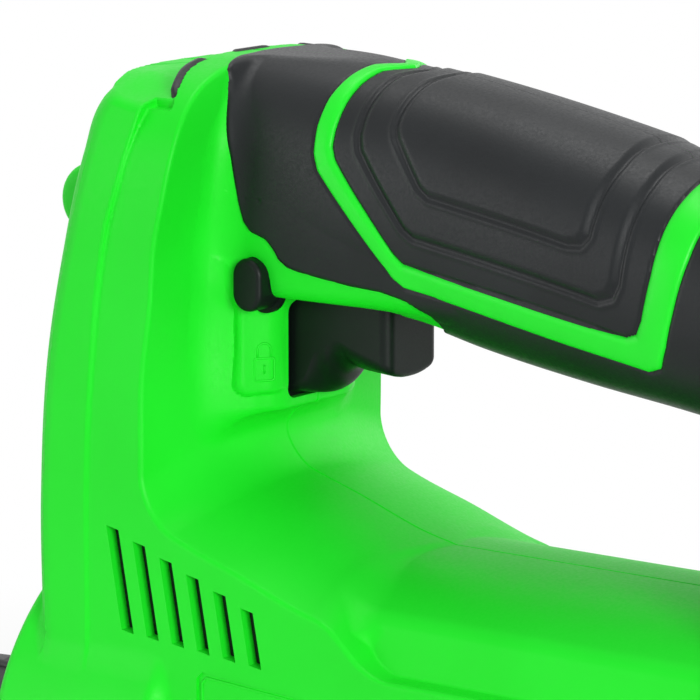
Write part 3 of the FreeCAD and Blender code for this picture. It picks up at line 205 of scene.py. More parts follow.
def base_form(x, n, z):
    """Distance to the lower body: the fan tube, the thicker shroud at its front and the skid."""
    tube = np.hypot(n, z - AXIS_Z) - BODY_R
    tube = meet(tube, np.maximum(-107.9 - x, x - BODY_REAR), 1.5)
    arc = np.hypot(n, z - np.clip(z, 53, 83)) - SHROUD_R
    shroud = meet(arc, np.maximum(-108 - x, x + 68), 3.0)
    skid = meet(meet(n - 27, np.abs(x) - 78, 6), 3.0 - z, 1.0)
    skid = np.maximum(skid, z - 30)
    return join(join(tube, shroud, 2.5), skid, 4)


def tail_form(x, n, z):
    """Distance to the rear column, which carries the handle's rear end over the battery's mount."""
    plan = meet(meet(tail_front(z) - x, n - tail_side(z), 8), x - tail_rear(z), 5)
    return np.maximum(plan, np.maximum(z - 205, 50 - z))


def shell_form(x, n, z):
    """Distance to the whole green shell, from its parts joined with hollow fillets.

    The handle meets the column in a wide fillet low down. Near the top it is sharp in front of the hoop's edge
    and narrower behind it.
    """
    handle = np.maximum(handle_form(x, n, z), np.maximum(hoop_front(z) - x, x - 90))
    body = np.maximum(np.maximum(body_form(x, n, z), x - BODY_REAR), 45 - z)
    behind = fade(x, -75, -69)
    sharp = (1 - behind) * fade(z, 208, 218) * 7.7 + behind * fade(z, 212, 226) * 5.2
    front = join(body, join(handle, pod_form(x, n, z), 1.6), 8.5 - sharp)
    front = join(front, base_form(x, n, z), 2)
    tail = join(tail_form(x, n, z), handle, 9.0)
    whole = join(front, tail, 1 + 5 * fade(z, 118, 130))
    return meet(whole, z - TOP_Z, 0.6)


# ---------------------------------------------------------------- from a form to a mesh
def at_points(form, p):
    """The form's value at each point of p, an array of x, y and z."""
    return form(p[:, 0], np.abs(p[:, 1]), p[:, 2])


def slope_of(form, p):
    """How steeply the form rises along x, y and z at the points p, by central differences."""
    e = 0.02
    g = np.empty_like(p)
    for k in range(3):
        d = np.zeros(3)
        d[k] = e
        high, low = p + d, p - d
        g[:, k] = at_points(form, high) - at_points(form, low)
    return g / (2 * e)


def unit(v):
    """The vectors scaled to length 1."""
    return v / np.maximum(np.linalg.norm(v, axis=1, keepdims=True), 1e-9)


def skin_of(form, low, high, cell):
    """The half with y above 0 of a mirrored form as points and quads.

    A grid covers the box. Each cell that the surface crosses gets one point, the mean of where its edges are
    crossed, and each crossed grid edge gets a quad from the four cells round it. The points are then moved
    along the form's slope until they lie on it. The first layer of cells straddles y = 0, so its points lie on
    the mirror plane.
    """
    count = [int(math.ceil((high[k] - low[k]) / cell)) + 2 for k in range(3)]
    axes = [low[0] + cell * np.arange(count[0]), cell * (np.arange(count[1]) - 0.5),
            low[2] + cell * np.arange(count[2])]
    value = np.empty(count, np.float32)
    for k in range(0, count[0], 16):
        part = axes[0][k:k + 16]
        value[k:k + 16] = form(part[:, None, None], np.abs(axes[1])[None, :, None], axes[2][None, None, :])
    inside = value < 0
    cells = [c - 1 for c in count]
    total = np.zeros(cells + [3], np.float32)
    hits = np.zeros(cells, np.float32)
    corner = [(0, 0), (0, 1), (1, 0), (1, 1)]
    for axis in range(3):
        others = [k for k in range(3) if k != axis]
        a, b = np.delete(value, -1, axis), np.delete(value, 0, axis)
        crossed = (a < 0) != (b < 0)
        share = np.where(crossed, a / np.where(crossed, a - b, 1), 0)
        for u, v in corner:
            pick = [slice(None)] * 3
            pick[others[0]] = slice(u, u + cells[others[0]])
            pick[others[1]] = slice(v, v + cells[others[1]])
            c, t = crossed[tuple(pick)], share[tuple(pick)]
            hits += c
            total[..., axis] += t * c
            total[..., others[0]] += u * c
            total[..., others[1]] += v * c
    used = hits > 0
    index = np.full(cells, -1, np.int64)
    index[used] = np.arange(used.sum())
    where = np.argwhere(used)
    origin = np.array([axes[0][0], axes[1][0], axes[2][0]])
    points = origin + cell * (where + total[used] / hits[used][:, None])
    seam = where[:, 1] == 0
    quads = []
    for axis in range(3):
        u, v = (axis + 1) % 3, (axis + 2) % 3
        a, b = np.delete(inside, -1, axis), np.delete(inside, 0, axis)
        at = np.argwhere(a != b)
        at = at[(at[:, u] > 0) & (at[:, v] > 0) & (at[:, u] < cells[u]) & (at[:, v] < cells[v])]
        rises = a[tuple(at.T)]
        ring = []
        for du, dv in ((1, 1), (0, 1), (0, 0), (1, 0)):
            place = at.copy()
            place[:, u] -= du
            place[:, v] -= dv
            ring.append(index[tuple(place.T)])
        ring = np.stack(ring, axis=1)
        quads.append(np.where(rises[:, None], ring, ring[:, ::-1]))
    quads = np.concatenate(quads)
    quads = quads[(quads >= 0).all(axis=1)]
    for _ in range(6):
        g = slope_of(form, points)
        d = at_points(form, points)
        move = -np.clip(d, -cell, cell)[:, None] * g / np.maximum((g * g).sum(axis=1, keepdims=True), 0.2)
        move[seam, 1] = 0
        points += 0.9 * move
    return points, quads, seam


def mesh_piece(name, points, faces):
    """A new object from points in millimetres and faces, in place, with smooth shading."""
    mesh = bpy.data.meshes.new(name)
    faces = np.asarray(faces)
    mesh.vertices.add(len(points))
    mesh.vertices.foreach_set("co", (np.asarray(points, float) * MM).ravel())
    mesh.loops.add(faces.size)
    mesh.loops.foreach_set("vertex_index", faces.ravel())
    mesh.polygons.add(len(faces))
    mesh.polygons.foreach_set("loop_start", np.arange(0, faces.size, faces.shape[1]))
    mesh.update(calc_edges=True)
    mesh.validate()
    mesh.shade_smooth()
    piece = bpy.data.objects.new(name, mesh)
    bpy.context.scene.collection.objects.link(piece)
    return piece


def closed(piece):
    """The piece with its open ends capped and its faces turned outwards."""
    bm = bmesh.new()
    bm.from_mesh(piece.data)
    bmesh.ops.holes_fill(bm, edges=[e for e in bm.edges if e.is_boundary], sides=0)
    bmesh.ops.recalc_face_normals(bm, faces=bm.faces)
    bm.to_mesh(piece.data)
    bm.free()
    return piece


def grid_faces(rows, columns):
    """Quads over a grid of points."""
    k = np.arange(rows * columns).reshape(rows, columns)
    return np.stack([k[:-1, :-1], k[:-1, 1:], k[1:, 1:], k[1:, :-1]], axis=-1).reshape(-1, 4)


def tube_faces(rings, count, first=0, loop=False):
    """Quads of a tube: rings along it, each of count points round it, joined end to end for a loop."""
    k = np.arange(rings * count).reshape(rings, count) + first
    ahead, over = np.roll(k, -1, axis=0), np.roll(k, -1, axis=1)
    quads = np.stack([k, ahead, np.roll(over, -1, axis=0), over], axis=-1)
    return quads[slice(None) if loop else slice(0, -1)].reshape(-1, 4)


def tubes(name, grids, loops=()):
    """Closed tubes as one object. A grid holds a tube's points, ring after ring; those numbered in loops are
    joined end to end."""
    faces, first = [], 0
    for number, grid in enumerate(grids):
        faces.append(tube_faces(*grid.shape[:2], first, number in loops))
        first += grid.shape[0] * grid.shape[1]
    points = np.concatenate([grid.reshape(-1, 3) for grid in grids])
    return closed(mesh_piece(name, points, np.concatenate(faces)))


def split_at_seam(points, quads, seam, sharp=0.32, gap=0.1, depth=0.35):
    """The half skin with its edge along y = 0 turned into a seam: a short bevel down to a lip.

    The edge points move out to `sharp` from the mirror plane and a second row lies `depth` further in at `gap`,
    so that two halves meet in a fine groove.
    """
    g = slope_of(shell_form, points[seam])
    g[:, 1] = 0
    lip = points[seam] - depth * unit(g)
    lip[:, 1] = gap
    place = np.full(len(points), -1, np.int64)
    place[seam] = len(points) + np.arange(seam.sum())
    points = points.copy()
    points[seam, 1] = sharp
    ahead = np.roll(quads, -1, axis=1)
    on_edge = seam[quads] & seam[ahead]
    a, b = quads[on_edge], ahead[on_edge]
    bevel = np.stack([b, a, place[a], place[b]], axis=1)
    return np.concatenate([points, lip]), np.concatenate([quads, bevel])


def shade_by_form(piece, form):
    """Smooth shading from the form's slope, read just inside each face's corners, and flat on cut faces."""
    mesh = piece.data
    mesh.shade_smooth()
    co = np.empty(len(mesh.vertices) * 3)
    mesh.vertices.foreach_get("co", co)
    corner = np.empty(len(mesh.loops), np.int64)
    mesh.loops.foreach_get("vertex_index", corner)
    sizes = np.empty(len(mesh.polygons), np.int64)
    mesh.polygons.foreach_get("loop_total", sizes)
    flat, middle = np.empty(len(mesh.polygons) * 3), np.empty(len(mesh.polygons) * 3)
    mesh.polygons.foreach_get("normal", flat)
    mesh.polygons.foreach_get("center", middle)
    flat = np.repeat(flat.reshape(-1, 3), sizes, axis=0)
    middle = np.repeat(middle.reshape(-1, 3), sizes, axis=0)
    at = (0.75 * co.reshape(-1, 3)[corner] + 0.25 * middle) / MM
    slope = unit(slope_of(form, at))
    off = np.abs(at_points(form, at))
    follows = ((flat * slope).sum(axis=1) > 0.85) & (off < 0.15)
    mesh.normals_split_custom_set(np.where(follows[:, None], slope, flat).tolist())


def shell_half(name, side, cutters):
    """One half of the green shell: shell_form's skin, closed at the seam, thinned, and cut by the cutters."""
    points, faces = split_at_seam(*SKIN_HALF)
    piece = mesh_piece(name, points * (1, side, 1), faces if side > 0 else faces[:, ::-1])
    bm = bmesh.new()
    bm.from_mesh(piece.data)
    rim = [e for e in bm.edges if e.is_boundary]
    bmesh.ops.triangle_fill(bm, use_beauty=False, edges=rim, normal=(0, -side, 0))
    bmesh.ops.recalc_face_normals(bm, faces=bm.faces)
    bm.to_mesh(piece.data)
    bm.free()
    thin = piece.modifiers.new("thin", "DECIMATE")
    thin.ratio = min(1.0, THIN_TO / (2 * len(faces)))
    for cutter in cutters:
        cut = piece.modifiers.new("cut", "BOOLEAN")
        cut.operation = "DIFFERENCE"
        cut.solver = "EXACT"
        cut.object = cutter
    done = bpy.data.meshes.new_from_object(piece.evaluated_get(bpy.context.evaluated_depsgraph_get()))
    piece.modifiers.clear()
    piece.data = done
    for cutter in cutters:
        bpy.data.objects.remove(cutter)
    shade_by_form(piece, shell_form)
    return piece


# ---------------------------------------------------------------- straight bars, for cutting and for plates
def round_outline(cx, cz, rx, rz, count=32):
    """Points round an ellipse."""
    a = np.linspace(0, 2 * np.pi, count, endpoint=False)
    return np.stack([cx + rx * np.cos(a), cz + rz * np.sin(a)], axis=1)


def box_outline(x0, x1, z0, z1, r, count=5):
    """Points round a rectangle with corners of radius r."""
    a = np.linspace(0, np.pi / 2, count)
    rows = []
    for k, (cx, cz) in enumerate([(x1 - r, z1 - r), (x0 + r, z1 - r), (x0 + r, z0 + r), (x1 - r, z0 + r)]):
        turned = a + k * np.pi / 2
        rows.append(np.stack([cx + r * np.cos(turned), cz + r * np.sin(turned)], axis=1))
    return np.concatenate(rows)


def bars(name, outlines, axis, low, high):
    """Closed bars with flat faces, as one object: each outline is carried from low to high along the axis."""
    piece = tubes(name, [np.stack([np.insert(outline, axis, end, axis=1) for end in (low, high)])
                         for outline in outlines])
    piece.data.shade_flat()
    return piece


def vent(k, grow=0.0):
    """The slanted slot number k of the row of vents, in x and z: they get shorter towards the rear."""
    x, top = -80.8 + 6.7 * k, 137.5 - 2.36 * k
    height = 21.7 - 1.9 * k
    lean = 0.17 * height
    w = 1.55 + grow
    low = top - height - grow
    return np.array([(x - w, top + grow - 0.2), (x + w, top + grow - 0.8), (x + lean + w, low + 0.4),
                     (x + lean - w, low + 0.9)])


# ---------------------------------------------------------------- the shell
pieces = {}


def keep(piece, body, slot, *nodes):
    """Notes a piece with the body that it rides on, its slot, and the CAD nodes that it takes the place of."""
    pieces[piece.name] = (piece, body, slot, nodes)


SKIN_HALF = skin_of(shell_form, (-118, 0, -3), (104, 50, 232), 0.62)
LABEL = [(-58.4, 111.2), (-24.2, 109.2), (-23.0, 107.6), (-23.0, 98.2), (-24.6, 96.8), (-58.2, 96.8),
         (-59.8, 98.4), (-59.8, 109.8)]
INTAKE = box_outline(44, 88, 26, 80, 3)
TRIGGER_HOLE = box_outline(-9.8, 9.8, 160.5, 199, 2)
DIAL_SLOT = box_outline(-86.5, -76.5, -4.4, 4.4, 0.5)
LOCK_HOLE = round_outline(-60.5, 185, 3.75, 5.4)
# the housing's screws: x, z and the y of their heads
SCREWS = [(-92, 183, 20), (-86, 116, 20), (-2, 198, 8), (74, 176.5, 8), (-52, 124, 17), (46, 104, 20),
          (84, 118, 20)]
SCREW_HOLE_R = 3.8

for side, half in ((-1, "left"), (1, "right")):
    # a screw takes the place of the two shortest vents on the +y side
    vents = range(6) if side < 0 else range(4)
    cutters = [bars("cut", [vent(k) for k in vents], 1, side * (VENT_FLOOR - 0.4), side * CLEAR),
               bars("cut", [LABEL], 1, side * LABEL_Y, side * CLEAR),
               bars("cut", [INTAKE], 1, side * 24, side * CLEAR),
               bars("cut", [TRIGGER_HOLE], 0, -72, -32.5),
               bars("cut", [DIAL_SLOT], 2, 206, 240),
               bars("cut", [round_outline(0, AXIS_Z, DUCT_R, DUCT_R, 64)], 0, -120, 92)]
    # the lock button comes out on the -y side, the screws go in from the +y side
    if side < 0:
        cutters += [bars("cut", [LOCK_HOLE], 1, -15, -40)]
    else:
        cutters += [bars("cut", [round_outline(x, z, SCREW_HOLE_R, SCREW_HOLE_R)], 1, head, CLEAR)
                    for x, z, head in SCREWS]
    keep(shell_half("shell_" + half, side, cutters), "body", "green_plastic", "housing_" + half)
    # a black sheet on each vent's floor: painted shade that stands for the dark inside of the housing seen
    # through the slots
    keep(bars("vent_backing_" + half, [vent(k, -0.03) for k in vents], 1, side * (VENT_FLOOR - 0.5),
              side * VENT_FLOOR), "body", "black_plastic")

# ---------------------------------------------------------------- the grip
HANDLE_X = (-76.0, 51.0)
HANDLE_R = 20            # about its radius
STATIONS = 255           # places along the handle in its chart
ANGLES = 121             # places round it, from straight up to straight down
EDGE_ROUND = 0.7         # width of the rounding at the grip's edge
DIVE = 1.3               # how deep its edge goes under the shell
BANK = 1.4               # width of a terrace's sloping bank


def leaves_at(x, a, z, low, high, rounds):
    """How far from (x, 0, z) a ray at the angle a from straight up leaves the shell's form, by halving."""
    for _ in range(rounds):
        middle = (low + high) / 2
        outside = shell_form(x, np.abs(middle * np.sin(a)), z + middle * np.cos(a)) > 0
        low, high = np.where(outside, low, middle), np.where(outside, middle, high)
    return low


def on_handle(x, a):
    """Where rays from the handle's axis leave the shell's form: at each x, at the angle a from straight up."""
    x, a = np.broadcast_arrays(np.asarray(x, float), np.asarray(a, float))
    axis = (handle_top(x) + handle_bottom(x)) / 2
    reach = np.full(x.shape, 10.0)
    out = np.zeros(x.shape, bool)
    for _ in range(28):
        out |= shell_form(x, np.abs(reach * np.sin(a)), axis + reach * np.cos(a)) > 0
        reach = np.where(out, reach, reach + 1.25)
    reach = leaves_at(x, a, axis, reach - 1.25, reach, 11)
    return np.stack([x, reach * np.sin(a), axis + reach * np.cos(a)], axis=-1)


def inside_by(u, v, outline):
    """How far inside a closed outline each point lies, negative outside it."""
    best = np.full(u.shape, 1e9)
    inside = np.zeros(u.shape, bool)
    for (u0, v0), (u1, v1) in zip(outline, outline[1:] + outline[:1]):
        best = np.minimum(best, segment_distance(u, v, (u0, v0), (u1, v1)))
        inside ^= ((v0 > v) != (v1 > v)) & (u < (u1 - u0) * (v - v0) / (v1 - v0 if v1 != v0 else 1e-9) + u0)
    return np.where(inside, best, -best)


# outlines on the handle, each point an x and an angle in degrees down from its top line
GRIP_EDGE = [(-71.9, -6), (-71.7, 8), (-70.8, 18), (-70.2, 26), (-69.7, 31), (-68.6, 38), (-67.2, 45),
             (-66.3, 54), (-65.2, 66), (-64.1, 78), (-62.9, 101), (-62.1, 110), (-60.7, 114.5),
             (-57.1, 117), (-55.4, 121), (-54.2, 125.5), (-52.4, 128), (-50.0, 129), (-44.7, 130),
             (-37.8, 131), (-30.8, 131), (-25.1, 132.5), (-20.4, 138), (-20.5, 150), (-24.5, 165),
             (-27, 186), (46.5, 186), (44.9, 130), (45.2, 119), (46, 101), (46.5, 85), (47.5, 66),
             (48.8, 40), (50.0, -6)]
RIB_OUTER = [(-39, 0), (-39.8, 4), (-42.5, 12), (-43.9, 26), (-45.1, 41), (-45.5, 55), (-45.2, 68),
             (-44.0, 76), (-27.2, 123), (-24.7, 126), (31.2, 126), (33.8, 122), (35.7, 109), (37.4, 91),
             (39.8, 63), (41.1, 41), (41.5, 20), (41.5, 0)]
RIB_INNER = [(-36.0, 0), (-37.0, 6), (-39.5, 15), (-40.5, 28), (-41.1, 41), (-41.4, 55), (-41.3, 63),
             (-40.3, 69), (-26.3, 110.5), (-24.4, 114), (26.8, 111.5), (29.3, 108), (30.6, 100),
             (32.4, 77), (33.5, 55), (34.7, 34), (35.4, 10), (35.6, 0)]
TERRACES = [[(-31, -6), (-32.6, 9), (-34.1, 18), (-34.6, 28), (-35.1, 43), (-35.0, 55), (-34.2, 61),
             (-23.2, 93.5), (-21.1, 96), (21.0, 95.5), (23.7, 92), (24.9, 85), (25.5, 70), (26.2, 53),
             (27.0, 36), (27.2, 10), (27.2, -6)],
            [(-25, -6), (-25.8, 9), (-26.6, 19), (-27.1, 31), (-27.3, 42), (-27.1, 47), (-26.3, 51),
             (-19.5, 69.5), (-17.5, 72), (14.2, 72.5), (16.9, 71), (18.1, 67), (18.6, 55), (19.2, 44),
             (19.9, 32), (19.9, 10), (19.9, -6)]]

# ALONG is a chart of the handle: millimetres round it from its top line, at each station and angle
chart_rings = on_handle(np.linspace(*HANDLE_X, STATIONS)[:, None], np.linspace(0, np.pi, ANGLES)[None, :])
chart_steps = np.linalg.norm(np.diff(chart_rings, axis=1), axis=-1)
ALONG = np.concatenate([np.zeros((STATIONS, 1)), np.cumsum(chart_steps, axis=1)], axis=1)


def station_of(x):
    """The station of the chart, with its fraction, that x lies at."""
    return (x - HANDLE_X[0]) / (HANDLE_X[1] - HANDLE_X[0]) * (STATIONS - 1)


def read_chart(x, a):
    """Millimetres round the handle from its top line, read from the chart, and how many of them a radian is."""
    station = np.clip(station_of(x), 0, STATIONS - 1.001)
    k = station.astype(int)
    t = station - k
    place = a / np.pi * (ANGLES - 1)
    m = np.clip(place.astype(int), 0, ANGLES - 2)
    rows = [(1 - (place - m)) * ALONG[k + j, m] + (place - m) * ALONG[k + j, m + 1] for j in (0, 1)]
    return rows[0] * (1 - t) + rows[1] * t, (ALONG[k, m + 1] - ALONG[k, m]) * (ANGLES - 1) / np.pi


def to_chart(line):
    """An outline's points with millimetres for their degrees; beyond 0 and 180 degrees these run on evenly."""
    out = []
    for x, degrees in line:
        k = int(np.clip(round(station_of(x)), 0, STATIONS - 1))
        beyond = min(degrees, 0) + max(degrees - 180, 0)
        out.append((x, float(np.interp(degrees, np.linspace(0, 180, ANGLES), ALONG[k])) + 0.3 * beyond))
    return out


# the rib's lines end on the handle's top line, so they are carried round above it to enclose an area
EDGE_LINE = to_chart(GRIP_EDGE)
OUTER_LINE = to_chart(RIB_OUTER + [(41.5, -9), (-38, -9)])
INNER_LINE = to_chart(RIB_INNER + [(35.6, -9), (-35, -9)])
TERRACE_LINES = [to_chart(line) for line in TERRACES]


def raised(p, height, on_mirror):
    """A grid of points moved by a height along the shell form's slope; those on the mirror plane stay on it."""
    g = slope_of(shell_form, p.reshape(-1, 3)).reshape(p.shape)
    g[on_mirror + (1,)] = 0
    g /= np.linalg.norm(g, axis=-1, keepdims=True)
    return p + height[..., None] * g


def onto_lines(x, a, reach):
    """Grid points within reach of the grip's and the rib's lines, moved onto them down the distance's slope."""
    v, per_radian = read_chart(x, a)
    e = 0.05
    for line in (EDGE_LINE, OUTER_LINE, INNER_LINE):
        d = inside_by(x, v, line)
        near = np.abs(d) < reach
        near[:, [0, -1]] = False
        near[[0, -1]] = False
        du, dv = (inside_by(x + e, v, line) - d) / e, (inside_by(x, v + e, line) - d) / e
        x, a, v = (np.where(near, old - d * step, old)
                   for old, step in ((x, du), (a, dv / per_radian), (v, dv)))
    return x, np.clip(a, 0, np.pi)


def grip_height(x, a):
    """How far the grip's skin stands off the shell.

    It is SKIN inside its outline, falls by a quarter round within EDGE_ROUND of it and dives under the shell
    outside it. A groove runs on both sides of the rib. Two terraces rise inside, each over a sloping bank
    with a fine groove at its foot and a bead outside that.
    """
    v = read_chart(x, a)[0]
    edge = inside_by(x, v, EDGE_LINE)
    h = SKIN * np.sqrt(1 - (1 - np.clip(edge / EDGE_ROUND, 0, 1)) ** 2)
    h = h - DIVE * np.clip(-edge / 0.5, 0, 1)
    for line in (OUTER_LINE, INNER_LINE):
        h = h - 0.45 * np.clip(1 - np.abs(inside_by(x, v, line)) / 0.5, 0, 1)
    for line in TERRACE_LINES:
        d = inside_by(x, v, line)
        groove, bead = np.exp(-((d + 0.85) / 0.4) ** 2), np.exp(-((d + 1.75) / 0.4) ** 2)
        h = h + 0.55 * fade(d, 0.9 - BANK, 0.9) - 0.32 * groove + 0.2 * bead
    return h


def grip_half(name, side, cell):
    """The soft grip's half: the handle's own surface over a grid of x and angle, raised along its slope by
    grip_height. The rows are closer together in its first 14 mm, where it climbs the column's fillet."""
    start, end = HANDLE_X
    rows = np.concatenate([np.arange(start, start + 14, 0.45 * cell), np.arange(start + 14, end, cell), [end]])
    angles = np.linspace(0, np.pi, int(64 / cell))
    x, a = np.meshgrid(rows, angles, indexing="ij")
    x, a = onto_lines(x, a, 0.52 * np.gradient(rows)[:, None])
    points = raised(on_handle(x, a), grip_height(x, a), (slice(None), [0, -1])).reshape(-1, 3)
    points[:, 1] = np.maximum(points[:, 1], 0.04)
    faces = grid_faces(len(rows), len(angles))
    return mesh_piece(name, points * (1, side, 1), faces[:, ::-1] if side > 0 else faces)


def along_lines(outer, inner, step):
    """The two edge lines of a ribbon as x and angle in radians, both read at the same stations: one every `step`
    millimetres of the outer line, on a handle that measures HANDLE_R from its axis."""
    outer, inner = np.array(outer, float), np.array(inner, float)
    outer[:, 1], inner[:, 1] = np.radians(outer[:, 1]), np.radians(inner[:, 1])
    length = np.linalg.norm(np.diff(outer * (1, HANDLE_R), axis=0), axis=1)
    at = np.concatenate([[0], np.cumsum(length)])
    s = np.linspace(0, at[-1], int(at[-1] / step))
    pick = lambda line: np.stack([np.interp(s, at, line[:, k]) for k in (0, 1)], axis=-1)
    return pick(outer), pick(inner)


def rib_half(name, side):
    """The green rib's half: a flat band with rounded edges, laid on the handle between two lines.

    Its section runs from the outer line to the inner one: up out of the grip, over a rounded edge, across the
    flat top, over a wider rounded edge and down again.
    """
    outer, inner = along_lines(RIB_OUTER, RIB_INNER, 0.5)
    across = np.array([0, 0, 0.03, 0.09, 0.18, 0.4, 0.65, 0.78, 0.9, 0.97, 1, 1])
    height = np.array([-1.2, 0.2, 0.62, 0.82, 0.9, 0.95, 0.95, 0.9, 0.72, 0.45, 0.1, -1.2])
    flat = outer[:, None] * (1 - across[:, None]) + inner[:, None] * across[:, None]
    p = on_handle(flat[..., 0], flat[..., 1])
    p = raised(p, np.broadcast_to(height, p.shape[:2]), ([0, -1], slice(None)))
    p[..., 1] = np.maximum(p[..., 1], 0)
    # its lines run the other way round than a tube's, so two corners change places for faces to look outwards
    faces = tube_faces(len(outer), len(across))[:, [0, 3, 2, 1]]
    return mesh_piece(name, p.reshape(-1, 3) * (1, side, 1), faces if side > 0 else faces[:, ::-1])


# ---------------------------------------------------------------- trigger, dial and small parts
trigger_low = smooth_line([(-66, 160.9), (-60, 161.0), (-54.5, 161.7), (-52, 163.8), (-51, 165.6),
                           (-49, 167.0), (-46, 166.7), (-40, 166.4), (-36, 166.3)])
trigger_rise = smooth_line([(-66, 1), (-60, 1.2), (-57, 2.9), (-54.8, 6.8), (-50.5, 5.2), (-45.6, 4.0),
                            (-39.6, 2.5), (-36, 1.8)])


def trigger_form(x, n, z):
    """Distance to the trigger: an upright block whose underside is a finger curve along x and rounds up to each
    side, with its upper front corner cut off to leave room for the pull."""
    low = trigger_low(x) + trigger_rise(x) * (np.abs(n) / TRIGGER_W) ** 2.4
    body = meet(meet(n - TRIGGER_W, x + 36.4, 2.4), 0.8 * (low - z), 1.2)
    nose = (z - 178 - 1.84 * (x + 65.6)) / 2.09
    return np.maximum(np.maximum(body, nose), np.maximum(z - 191.8, -65.6 - x))


def whole_from_half(name, form, low, high, cell):
    """A mirrored form's skin, both halves joined along y = 0."""
    points, quads, seam = skin_of(form, low, high, cell)
    other = np.arange(len(points)) + len(points)
    other[seam] = np.flatnonzero(seam)
    faces = np.concatenate([quads, other[quads][:, ::-1]])
    used, faces = np.unique(faces, return_inverse=True)
    points = np.concatenate([points, points * (1, -1, 1)])[used]
    piece = mesh_piece(name, points, faces.reshape(-1, 4))
    shade_by_form(piece, form)
    return piece


DIAL = (-80.0, 214.5)    # the dial's axis, x and z
DIAL_R = 11.0
DIAL_TEETH = 40
HOOP_X = -71.0           # just behind the hoop's front edge
HOOP_Z = 190.0           # centre of its arch
SEAL_STRETCHES = ((-44, -21), (-9.5, 9.5), (21, 44))     # degrees from straight up
CASE_Y = 38.0            # flat sides of the battery's case
SPRING_TURNS = 5.6
END_TURNS = 0.8          # of these, how many lie flat at each end


def dial_disc(name):
    """The speed dial: a disc turned about y, its rim waved by rounded teeth, a shallow dish on each side."""
    a = np.linspace(0, 2 * np.pi, DIAL_TEETH * 8, endpoint=False)[None, :]
    y = np.array([-3.6, -4.0, -4.0, -3.7, -3.0, 0, 3.0, 3.7, 4.0, 4.0, 3.6])[:, None]
    r = np.array([2.0, 7.5, 9.6, 10.4, DIAL_R, DIAL_R, DIAL_R, 10.4, 9.6, 7.5, 2.0])[:, None]
    tooth = 0.28 * np.cos(DIAL_TEETH * a) * (r > 10)
    p = np.stack([DIAL[0] + (r + tooth) * np.sin(a), y + 0 * a, DIAL[1] + (r + tooth) * np.cos(a)], axis=-1)
    piece = tubes(name, [p])
    piece.data.set_sharp_from_angle(angle=math.radians(40))
    return piece


def cord_of(name, paths, half, rise, place, loops=()):
    """Raised lines: a half round section, `half` wide each way and `rise` high, carried along flat paths.

    place turns flat points and a height into points in space.
    """
    t = np.linspace(0, 2 * np.pi, 12, endpoint=False)
    side, up = half * np.cos(t), np.maximum(rise * np.sin(t), -0.25)
    grids = []
    for number, path in enumerate(paths):
        path = np.array(path, float)
        ahead = np.roll(path, -1, axis=0) - path
        behind = path - np.roll(path, 1, axis=0)
        if number not in loops:
            ahead[-1], behind[0] = behind[-1], ahead[0]
        along = unit(unit(ahead) + unit(behind))
        cross = np.stack([-along[:, 1], along[:, 0]], axis=1)
        stretch = 1 / np.maximum((unit(ahead) * along).sum(axis=1), 0.5)
        flat = path[:, None] + cross[:, None] * (side[None, :] * stretch[:, None])[..., None]
        grids.append(place(flat, np.tile(up, (len(path), 1))))
    return tubes(name, grids, loops)


def on_pod_plate(side):
    """Places flat points on the raised plate of the pod's slanted face: the first number runs along it, level,
    and the second is z."""
    def place(flat, up):
        out = 0.88 + up
        x = -66 + 0.577 * flat[..., 0] + 0.817 * out
        n = POD_W - 0.817 * flat[..., 0] + 0.577 * out
        return np.stack([x, side * n, flat[..., 1]], axis=-1)
    return place


def arc(cu, cv, r, start, end, count=14):
    """Points along part of a circle, angles in degrees."""
    a = np.radians(np.linspace(start, end, count))
    return [(cu + r * math.cos(t), cv + r * math.sin(t)) for t in a]


def coil(name, start, end, radius, wire, turns):
    """A compression spring from start to end: a round wire carried along a helix, whose end turns lie flat."""
    start, end = np.array(start, float), np.array(end, float)
    axis = unit((end - start)[None])[0]
    side = unit(np.cross(axis, (0.3, 0.8, 0.5))[None])[0]
    other = np.cross(axis, side)
    s = np.linspace(0, 1, int(turns * 22))
    rise = np.clip((s * turns - END_TURNS) / (turns - 2 * END_TURNS), 0, 1)
    length = np.linalg.norm(end - start) - 2 * wire
    turn = 2 * np.pi * turns * s
    out = np.cos(turn)[:, None] * side + np.sin(turn)[:, None] * other
    middle = start + axis * (wire + length * rise)[:, None] + (radius - wire) * out
    t = np.linspace(0, 2 * np.pi, 8, endpoint=False)
    p = middle[:, None] + wire * (np.cos(t)[None, :, None] * out[:, None] + np.sin(t)[None, :, None] * axis)
    return tubes(name, [p])


def hoop_seal(name):
    """The dust seal in front of the hoop: short stretches of a flat strip that follow the hoop's arch.

    At HOOP_X rays from (0, HOOP_Z) find the arch. Each stretch is a bar along it, 3 mm deep, that stands 1.5 mm
    ahead of the hoop's front edge and 0.4 mm above it, with rounded outer corners and ends that sink in.
    """
    ahead = np.array([0.1, -0.9, -1.3, -1.5, -1.5, 0.8])
    above = np.array([0.4, 0.35, 0.1, -0.5, -2.7, -2.7])
    grids = []
    for start, end in SEAL_STRETCHES:
        a = np.radians(np.linspace(start, end, 20))
        arch = leaves_at(np.full(a.shape, HOOP_X), a, HOOP_Z, 20.0, 60.0, 16)
        taper = np.minimum(1, np.minimum(a - a[0], a[-1] - a) / np.radians(2.5))
        r = (arch + 0.8 * (taper - 1))[:, None] + above
        y, z = r * np.sin(a)[:, None], HOOP_Z + r * np.cos(a)[:, None]
        grids.append(np.stack([hoop_front(z) + ahead, y, z], axis=-1))
    return tubes(name, grids)


